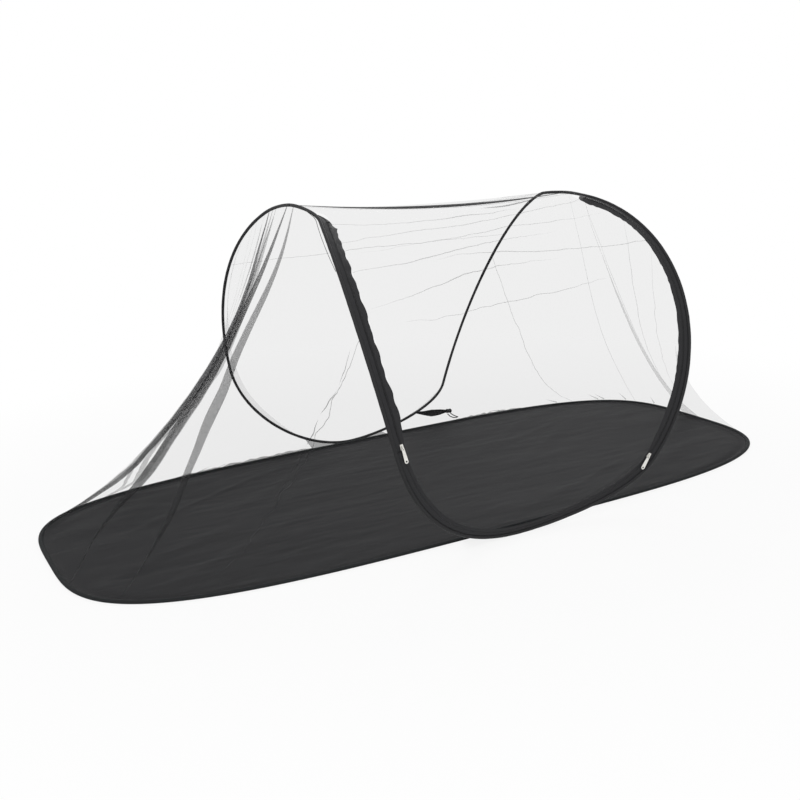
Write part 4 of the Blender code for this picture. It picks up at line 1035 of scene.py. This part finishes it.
# The door's creases from the ridge down: the route from the left arch to the right one, and the reach
DOOR_CREASES = (
    (((0.103, 0.0), (0.116, 0.11), (0.112, 0.25), (0.107, 0.4), (0.10, 0.55), (0.09, 1.0)),
     (0.002, 0.002, 0.004, 0.0, 0.0)),
    (((0.195, 0.0), (0.168, 0.16), (0.163, 0.25), (0.156, 0.42), (0.123, 0.65), (0.10, 1.0)),
     (0.0015, 0.003, 0.0015)),
    (((0.24, 0.0), (0.19, 0.5), (0.179, 0.61), (0.188, 0.72), (0.183, 0.82), (0.18, 1.0)),
     (0.0, 0.001, 0.002, 0.002, 0.0)),
    (((0.303, 0.0), (0.296, 0.09), (0.271, 0.25), (0.246, 0.37), (0.227, 0.5), (0.22, 1.0)),
     (0.001, 0.003, 0.002, 0.0, 0.0)),
    (((0.31, 0.0), (0.262, 0.40), (0.275, 0.53), (0.289, 0.72), (0.298, 0.85), (0.295, 1.0)),
     (0.0, 0.0, 0.003, 0.002, 0.002)),
    (((0.42, 0.0), (0.382, 0.16), (0.344, 0.31), (0.318, 0.42), (0.31, 1.0)), (0.0, 0.003, 0.0, 0.0)),
)


def add_tape(name, lines, body, node, *rests_on):
    """A tape or a hem from lines along it."""
    place = (TAPE, body, "zip_tape", (node,), "stretched", list(rests_on))
    return add_sheet(name, np.stack(lines), *place, thickness=TAPE_THICKNESS)


def add_roof():
    """The roof's net behind the ridge, and the ridge's tape."""
    low = BACK_LOW + CORNER_STEPS - ROOF_DIP_MARGIN
    start = RIDGE_TAPE_WIDTH / 2
    edges = [ridge_end(path.part(0, low).line(TAPE_START), start) for path in (BACK_LEFT, BACK_RIGHT)]
    pleats = [
        crease([(0.02, 0.0), (0.03, 0.5), (0.03, 1.0)], (0.001, 0.005, 0.006, 0.001), folds=2, seed=20.0),
        stroke([(0.05, 0.62), (0.06, 0.80), (0.09, 0.95)], 0.004, 2, 21.0),
        Pleat(
            [(0.20, 0.0), (0.216, 0.82), (0.235, 0.93), (0.231, 0.97), (0.216, 1.0)],
            0.022 * ROOF_TUFT, 3, spread=0.6, seed=22.0,
        ),
        Pleat([(0.105, 0.0), (0.112, 0.82), (0.118, 1.0)], 0.012 * ROOF_FADE, 2, spread=0.6, seed=23.0),
        crease([(0.36, 0.0), (0.33, 0.5), (0.33, 1.0)], (0.001, 0.0015, 0.001), seed=24.0),
    ]
    place = (BARREL_SIZE, "tent", "roof_net", "stretched", ["ridge_seam", "back_sleeve"])
    add_net("roof_netting", barrel_grid(*edges), pleats, *place)
    way = unit(RIGHT_APEX - LEFT_APEX)
    share = even(RIDGE_STATIONS)[:, None]
    left, right = LEFT_APEX + SLEEVE_RADIUS * way, RIGHT_APEX - SLEEVE_RADIUS * way
    points = left + (right - left) * share - ridge_drop(share) * Z_AXIS
    ridge = Path(points, np.tile(-Y_AXIS, share.shape), np.tile(np.cross(way, Y_AXIS), share.shape))
    arch = np.sin(math.pi * share[:, 0])
    half = RIDGE_TAPE_WIDTH / 2 * (RIDGE_END_SHARE + (1.0 - RIDGE_END_SHARE) * arch ** 0.7)
    droop = -RIDGE_DROOP * half * arch
    lines = [ridge.line(half * edge, droop * edge) for edge in (-1.0, -0.4, 0.0, 0.4, 1.0)]
    add_tape("ridge_seam", lines, "tent", "ridge_tape", "front_sleeve", "back_sleeve")


def drooped(path, side, first):
    """How far the zip's band hangs in from the barrel at each station after the first."""
    away = path.distances() - path.distances()[first]
    return TAPE_DROOPS[side] * smooth_share(away / DROOP_START) * (1.0 - smooth_share(away / DROOP_LENGTH))


def tape_top(distance):
    """The tapes' share of full width near the zip's top, where they leave the sleeve in a round corner."""
    rise = smooth_share(distance / distance[APEX_STEPS - ZIP_TOP])
    return TAPE_TOP_SHARE + (1.0 - TAPE_TOP_SHARE) * rise


def tape_reach(path, side, first):
    """How far from the wire the door's zip tape reaches at each station: narrow at first, then in a bulge."""
    away = path.distances() - path.distances()[first]
    neck = TAPE_NECKS[side]
    wide = smooth_share((away - neck) / TAPE_NECK_FADE) if neck else np.ones(len(away))
    swell = np.exp(-((away - neck - TAPE_NECK_FADE) / TAPE_BULGE_LENGTH) ** 2) * (neck > 0.0)
    start = INNER_TAPE_START + TAPE_NECK_SHARE * INNER_TAPE_WIDTH
    return start + (INNER_TAPE_START + INNER_TAPE_WIDTH - start) * wide + TAPE_BULGE * swell


def door_edge(path, side):
    """One side edge of the door's netting: beside the sleeve, then past the zip and round to the dip."""
    opening = smooth_share((np.arange(len(path.points)) - ZIP_TOP + OPENING_STATIONS) / OPENING_STATIONS)
    reach = tape_reach(path, side, ZIP_TOP) + GAP
    edge = path.line(reach, -drooped(path, side, ZIP_TOP) * opening)
    near = path.line(SLEEVE_RADIUS + 2 * GAP)
    edge = near + (edge - near) * opening[:, None]
    edge[ZIP_LOW + HEM_STATIONS:] = path.line(HEM_NET_START)[ZIP_LOW + HEM_STATIONS:]
    return ridge_end(edge[:DIP - DOOR_DIP_MARGIN], RIDGE_TAPE_WIDTH / 2 + HINGE_STANDOFF + GAP)


def add_inner_tape(side, path):
    """The zip tape on one side of the door: narrow at the top, wavy, and full at the foot."""
    run = path.part(ZIP_TOP, ZIP_LOW)
    distance = run.distances()
    corner = tape_top(distance)
    start = TAPE_START + (CHAIN_MIDDLE - TAPE_START) * corner
    wave = TAPE_WAVES[side] * rough(distance, *TAPE_WAVE_LINE)
    foot = smooth_share((distance - distance[-1] + TAPE_FOOT) / TAPE_FOOT)
    width = (tape_reach(path, side, ZIP_TOP)[ZIP_TOP:ZIP_LOW + 1] - CHAIN_MIDDLE) * corner
    width = width * (1.0 - foot) + (HEM_START + HEM_WIDTH - start) * foot
    droop = drooped(path, side, ZIP_TOP)[ZIP_TOP:ZIP_LOW + 1]
    lines = []
    for share in (0.0, 0.25, 0.5, 0.75, 0.9, 1.0):
        crinkle = INNER_CRINKLE * share * rough(distance, 70.0, 9.0 + share)
        lines.append(run.line(start + share * (width + wave * (1.0 - foot)), crinkle - droop * share))
    return add_tape("inner_zip_tape_" + side, lines, "door", "zip_tape_inner_" + side, "door_netting")


def add_door():
    """The door's net, its zip tapes and its hem."""
    pleats = [
        crease([(0.02, 0.0), (0.03, 1.0)], (0.001, 0.004, 0.002), folds=2, seed=30.0),
        *(crease(*line, seed=31.0 + k) for k, line in enumerate(DOOR_CREASES)),
        stroke([(0.46, 0.1), (0.41, 0.5), (0.38, 0.8)], 0.0015, 1, 37.0),
    ]
    grid = barrel_grid(*(door_edge(path, side) for side, path in FRONT_SIDES))
    hinge = (LEFT_APEX + RIGHT_APEX) / 2 - Y_AXIS * (RIDGE_TAPE_WIDTH / 2 + HINGE_STANDOFF + 2 * GAP)
    bend = ("tent", "door", tuple(hinge), tuple(hinge - Y_AXIS * HINGE_SPREAD))
    net = add_net("door_netting", grid, pleats, BARREL_SIZE, bend, "door_net")
    edges = [add_inner_tape(side, path) for side, path in FRONT_SIDES]
    lines = [FRONT_FOOT.line(HEM_START + HEM_WIDTH * share) for share in (0.0, 0.35, 0.7, 1.0)]
    edges.append(add_tape("door_foot_hem", lines, "door", "door_hem", "door_netting"))
    declare_sheet(net)


def add_hoops():
    """The sleeves round the arches' wire and the binding round the floor's."""
    around = np.stack([np.cos(ring(SLEEVE_SIDES)), np.sin(ring(SLEEVE_SIDES))], axis=1)
    for name, path, node in (
        ("front_sleeve", FRONT_HOOP, "arch_sleeve_front"),
        ("back_sleeve", BACK_HOOP, "arch_sleeve_back"),
    ):
        pucker = 1.0 + SLEEVE_PUCKER * rough(path.distances(), *PUCKER_LINE)[:, None, None]
        add_tube(name, path, SLEEVE_RADIUS * around[None] * pucker, SLEEVE, "tent", "binding", (node,))
    oval = around * (RIM_HALF_WIDTH, RIM_HALF_HEIGHT)
    add_tube("floor_rim", RIM, oval, RIM_CLOTH, "tent", "binding", ("floor_binding",), closed=True)


def add_outer_tapes():
    """The tapes between the sleeves and the zip chains, and the band under the door."""
    for side, path in FRONT_SIDES:
        run = path.part(ZIP_TOP, ZIP_LOW)
        distance = run.distances()
        width = (CHAIN_MIDDLE - TAPE_START) * tape_top(distance) + TAPE_LAP
        lines = []
        for share in (0.0, 0.2, 0.4, 0.6, 0.8, 1.0):
            crinkle = OUTER_CRINKLE * math.sin(math.pi * share) ** 3 * rough(distance, *OUTER_CRINKLE_LINE)
            lines.append(run.line(TAPE_START + share * width, crinkle - TAPE_LAP * share))
        add_tape("outer_zip_tape_" + side, lines, "tent", "zip_tape_outer_" + side, "front_sleeve")
        add_teeth(side, path.part(APEX_STEPS, ZIP_LOW))
    lines = [FRONT_FOOT.line(TAPE_START + SILL_WIDTH * share) for share in (0.0, 0.3, 0.65, 1.0)]
    add_tape("sill_tape", lines, "tent", "door_sill_band", "front_sleeve")


def add_teeth(side, path):
    """The turns of a closed zip's coil, each one a small loop across the chain."""
    distance = path.distances()
    alongs = (np.arange(int(distance[-1] / TOOTH_PITCH)) + 0.5) * TOOTH_PITCH
    turns = path.changed(lambda rows: resampled(rows, distance, alongs))
    ways, middles = np.cross(turns.sides, turns.outs), turns.line(CHAIN_MIDDLE)
    half_long, half_wide, half_high = TOOTH_LENGTH / 2, CHAIN_WIDTH / 2, CHAIN_HEIGHT / 2
    corners, uvs = [], []
    for end in (-1.0, 1.0):
        for across, out in TOOTH_SHARES:
            corner = across * half_wide * turns.sides + out * half_high * turns.outs
            corners.append(middles + end * half_long * ways + corner)
            uvs.append(np.stack([alongs + end * half_long, np.full(len(alongs), across * half_wide)], axis=1))
    points, uvs = np.stack(corners, axis=1).reshape(-1, 3), np.stack(uvs, axis=1).reshape(-1, 2)
    faces = []
    count = len(TOOTH_SHARES)
    for first in range(0, len(points), 2 * count):
        near = [first + i for i in range(count)]
        away = [index + count for index in near]
        faces += [(near[i - 1], near[i], away[i], away[i - 1]) for i in range(count)]
        faces += [tuple(reversed(near)), tuple(away)]
    add_mesh("zip_coil_" + side, points, faces, uvs, CHAIN, "tent", "zip_chain", ("zip_chain_" + side,))


def floor_height(x, y, inside):
    """How high the floor's cloth stands off the ground, in wrinkles."""
    turned = 0.82 * x + 0.57 * y
    long_wave = noise.noise((x * 2.2, y * 9.0, 0.3)) + 0.6 * noise.noise((x * 5.0 + y * 4.0, y * 22.0, 1.7))
    fold = 1.0 - abs(noise.noise((turned * 1.6, (y - 0.5 * x) * 9.0, 7.7))) * 3.2
    fine = 0.35 * noise.noise((x * 9.0 - y * 12.0, y * 40.0 + x * 6.0, 4.1))
    fine += 0.25 * noise.noise((x * 6.0, y * 85.0, 9.3))
    return (FLOOR_LIFT + FLOOR_WRINKLE * (long_wave + fine) + FLOOR_WRINKLE * max(0.0, fold)) * inside


def add_floor():
    """The floor's cloth, in loose wrinkles inside its binding."""
    rows, count = len(FLOOR_RINGS), len(RIM.points)
    outer = RIM.line(RIM_HALF_WIDTH * FLOOR_OVERLAP)
    grid = np.zeros((rows, count, 3))
    for k, share in enumerate(FLOOR_RINGS):
        grid[k, :, :2] = outer[:, :2] * share
        inside = float(smooth_share((1.0 - share) / FLOOR_WRINKLED_SHARE))
        edge = RIM_HALF_HEIGHT * (1.0 - float(smooth_share((1.0 - share) / FLOOR_DOWN_SHARE)))
        for i in range(count):
            grid[k, i, 2] = max(FLOOR_LEAST, edge + floor_height(*grid[k, i, :2], inside))
    points = np.concatenate([grid.reshape(-1, 3), [[0.0, 0.0, FLOOR_MIDDLE_HEIGHT]]])
    faces = grid_faces(rows, count, closed=True)
    first = (rows - 1) * count
    faces += [(first + i, first + (i + 1) % count, rows * count) for i in range(count)]
    cloth = add_mesh(
        "floor_cloth", points, faces, points[:, :2], FLOOR, "tent", "floor_fabric", ("floor_sheet",)
    )
    declare_sheet(cloth)


def add_gusset(name, left, right, rim_left, rim_right, first, node, look):
    """The fabric that ties the arch's dip to the floor's edge."""
    inner, last = first + CORNER_STEPS - GUSSET_STEPS, first + CORNER_STEPS
    arch = left.part(inner, last).then(right.part(inner, last).reversed())
    rim = straight(rim_left, rim_right, len(arch.points))
    way = unit((arch.points - rim) * (1.0 - X_AXIS))
    feet = rim + way * (1.0 / np.hypot(way[:, 1] / RIM_HALF_WIDTH, way[:, 2] / RIM_HALF_HEIGHT))[:, None]
    place = (look, "tent", "floor_fabric", (node,), "stretched", ["floor_rim"])
    add_sheet(name, straight(feet, sleeve_points(arch, feet), 6), *place, thickness=GUSSET_THICKNESS)


def add_frill(name, rim, height, seed):
    """The netting's raw edge, which stands up from its seam in the floor's binding."""
    places = even(FRILL_STATIONS)
    feet = along_rim(rim, FRILL_STATIONS) + (RIM_HALF_HEIGHT + GAP) * Z_AXIS
    mean, varies, least = FRILL_SHARES
    lift = height * np.clip(mean + varies * rough(places, 14.0, seed), least, 1.0)
    lift = lift * np.sqrt(np.sin(math.pi * np.clip(places, 0.02, 0.98)))
    sway = FRILL_SWAY * rough(places, 26.0, seed + 1.0)
    inward = unit(feet * (-1.0, -1.0, 0.0))
    rows = [feet + share * (lift[:, None] * Z_AXIS + sway[:, None] * inward) for share in (0.0, 0.5, 1.0)]
    place = (SEAM_NET, "tent", "netting", (), "gathered", ["floor_rim"])
    add_sheet(name, np.stack(rows), *place, thickness=FRILL_THICKNESS)


def add_keeper():
    """The strap that ties the folded tent: webbing that is gathered into its knot."""
    seam = BACK_RIGHT.points[BACK_LOW + CORNER_STEPS - 3 * STRAP_STATION]
    knot = np.array((TOGGLE_ALONG, FLOOR_WIDTH / 2 + TOGGLE_BEYOND_FLOOR, TOGGLE_HEIGHT))
    way = unit(knot - seam)
    start = seam + (SLEEVE_RADIUS - STRAP_INTO_SLEEVE) * way
    end = knot - (TOGGLE_LENGTH / 2 - STRAP_INTO_KNOT) * way
    share = even(STRAP_STEPS)
    arch = np.sin(math.pi * share)
    points = start + (end - start) * share[:, None] - STRAP_SAG * arch[:, None] * Z_AXIS
    up = square_to(Z_AXIS, way)
    half = np.interp(share, STRAP_PLACES, STRAP_HALF_WIDTHS)
    lines = []
    for k, across in enumerate(np.linspace(-1.0, 1.0, STRAP_LINES)):
        fold = STRAP_FOLD * (k % 2) * arch + STRAP_FOLD / 2 * rough(share, 9.0, float(k))
        lines.append(points + (half * across)[:, None] * up + fold[:, None] * np.cross(way, up))
    place = (WEBBING, "tent", "webbing", ("keeper_strap",), "gathered", ["back_sleeve", "keeper_toggle"])
    add_sheet("strap_webbing", np.stack(lines), *place, thickness=STRAP_THICKNESS)


def add_piping():
    """The seam's rolled edge, which shows as a thin line beside the long end's zip."""
    run = FRONT_LEFT.part(ZIP_TOP - 2, ZIP_TOP + PIPING_STEPS)
    share = even(len(run.points))
    across = -(SLEEVE_RADIUS + PIPING_CLEARANCE) - PIPING_REACH * np.sin(math.pi * share) ** 0.8
    turns = ring(PIPING_SIDES)
    section = np.stack([
        across[:, None] + PIPING_RADIUS * np.cos(turns)[None],
        np.tile(PIPING_RADIUS * np.sin(turns)[None], (len(share), 1)) - PIPING_DROP,
    ], axis=-1)
    add_tube("seam_piping", run, section, SLEEVE, "tent", "binding")


def dress_solids():
    """Finishes for the solids that stay."""
    finishes = {
        "arch_hoop": WIRE, "floor_hoop": WIRE, "slider": SLIDER, "pull": SLIDER,
        "zip_stop": CHAIN, "keeper_toggle": TOGGLE, "keeper_hook": TOGGLE,
    }
    for name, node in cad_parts.items():
        for start, material in finishes.items():
            if name.startswith(start):
                node.data.materials.clear()
                node.data.materials.append(material)
                if material is SLIDER:
                    bevel = node.modifiers.new("cast_edges", "BEVEL")
                    bevel.width = CAST_EDGE
                    bevel.segments = 2


def placed(right, up, back, place):
    """The matrix of an object with these axes at this place."""
    axes = np.stack([right, up, back, place], axis=1)
    return Matrix([*axes.tolist(), (0.0, 0.0, 0.0, 1.0)])


def add_camera():
    """The photograph's camera."""
    place, right, up, forward = view_axes()
    data = bpy.data.cameras.new("camera")
    data.sensor_width = SENSOR_WIDTH
    data.lens = CAMERA_FOCAL * SENSOR_WIDTH / PICTURE_SIZE
    data.shift_x = (PICTURE_SIZE / 2 - PICTURE_CENTRE[0]) / PICTURE_SIZE
    data.shift_y = (PICTURE_CENTRE[1] - PICTURE_SIZE / 2) / PICTURE_SIZE
    camera = bpy.data.objects.new("camera", data)
    camera.matrix_world = placed(right, up, -forward, place)
    bpy.context.scene.collection.objects.link(camera)
    bpy.context.scene.camera = camera


def add_stage():
    """A pale floor, a white surround and plain soft light."""
    scene = bpy.context.scene
    scene.world = bpy.data.worlds.new("surround")
    scene.world.use_nodes = True
    sky = Nodes(scene.world.node_tree)
    lit = sky.tree.nodes["Background"]
    lit.inputs["Color"].default_value = WHITE
    lit.inputs["Strength"].default_value = SKY_STRENGTH
    seen = sky.node("ShaderNodeBackground", Color=WHITE, Strength=1.0)
    sky.join(sky.seen_white(seen, lit.outputs[0]), sky.tree.nodes["World Output"].inputs["Surface"])
    half, low = GROUND_HALF_SIDE, -GROUND_DEPTH
    mesh = bpy.data.meshes.new("ground")
    corners = [(-half, -half, low), (half, -half, low), (half, half, low), (-half, half, low)]
    mesh.from_pydata(corners, [], [(0, 1, 2, 3)])
    ground = bpy.data.objects.new("ground", mesh)
    scene.collection.objects.link(ground)
    material = bpy.data.materials.new("ground")
    material.use_nodes = True
    paint = Nodes(material.node_tree)
    paint.tree.nodes.remove(paint.tree.nodes["Principled BSDF"])
    matt = paint.node("ShaderNodeBsdfDiffuse", Color=GROUND_GREY)
    glow = paint.node("ShaderNodeEmission", Strength=1.0)
    place = paint.node("ShaderNodeTexCoord", output="Object")
    far = paint.node("ShaderNodeVectorMath", "Value", {"operation": "LENGTH"}, i0=place)
    near, away = GROUND_FADE
    fade = paint.node("ShaderNodeMapRange", i0=far, i1=near, i2=away, i3=GROUND_FIRST_GLOW, i4=1.0)
    share = paint.node("ShaderNodeMixShader", i0=fade, i1=matt, i2=glow)
    paint.join(paint.seen_white(share, matt), paint.tree.nodes["Material Output"].inputs["Surface"])
    mesh.materials.append(material)
    for name, place, size, power in LAMPS:
        light = bpy.data.lights.new(name, "AREA")
        light.shape = "DISK"
        light.size = size
        light.energy = power
        lamp = bpy.data.objects.new(name, light)
        back = unit(np.array(place) - LAMP_TARGET)
        right = unit(np.cross(Z_AXIS, back))
        lamp.matrix_world = placed(right, np.cross(back, right), back, place)
        scene.collection.objects.link(lamp)
    scene.view_settings.view_transform = "Standard"
    scene.cycles.transparent_max_bounces = MOST_LAYERS


add_camera()
add_stage()
add_hoops()
add_floor()
add_left_net()
add_right_net()
add_roof()
add_door()
add_outer_tapes()
add_gusset(
    "front_dip_fabric", FRONT_LEFT, FRONT_RIGHT, LEFT_RIM[-1], RIGHT_RIM[0], ZIP_LOW, "front_gusset", FLOOR
)
add_gusset(
    "back_dip_fabric", BACK_LEFT, BACK_RIGHT, LEFT_RIM[0], RIGHT_RIM[-1], BACK_LOW, "back_gusset", SEAM_NET
)
add_frill("back_frill_long", LEFT_RIM[:12], 0.010, 3.0)
add_frill("back_frill_short", RIGHT_RIM[-14:-6], 0.006, 8.0)
add_keeper()
add_piping()
dress_solids()
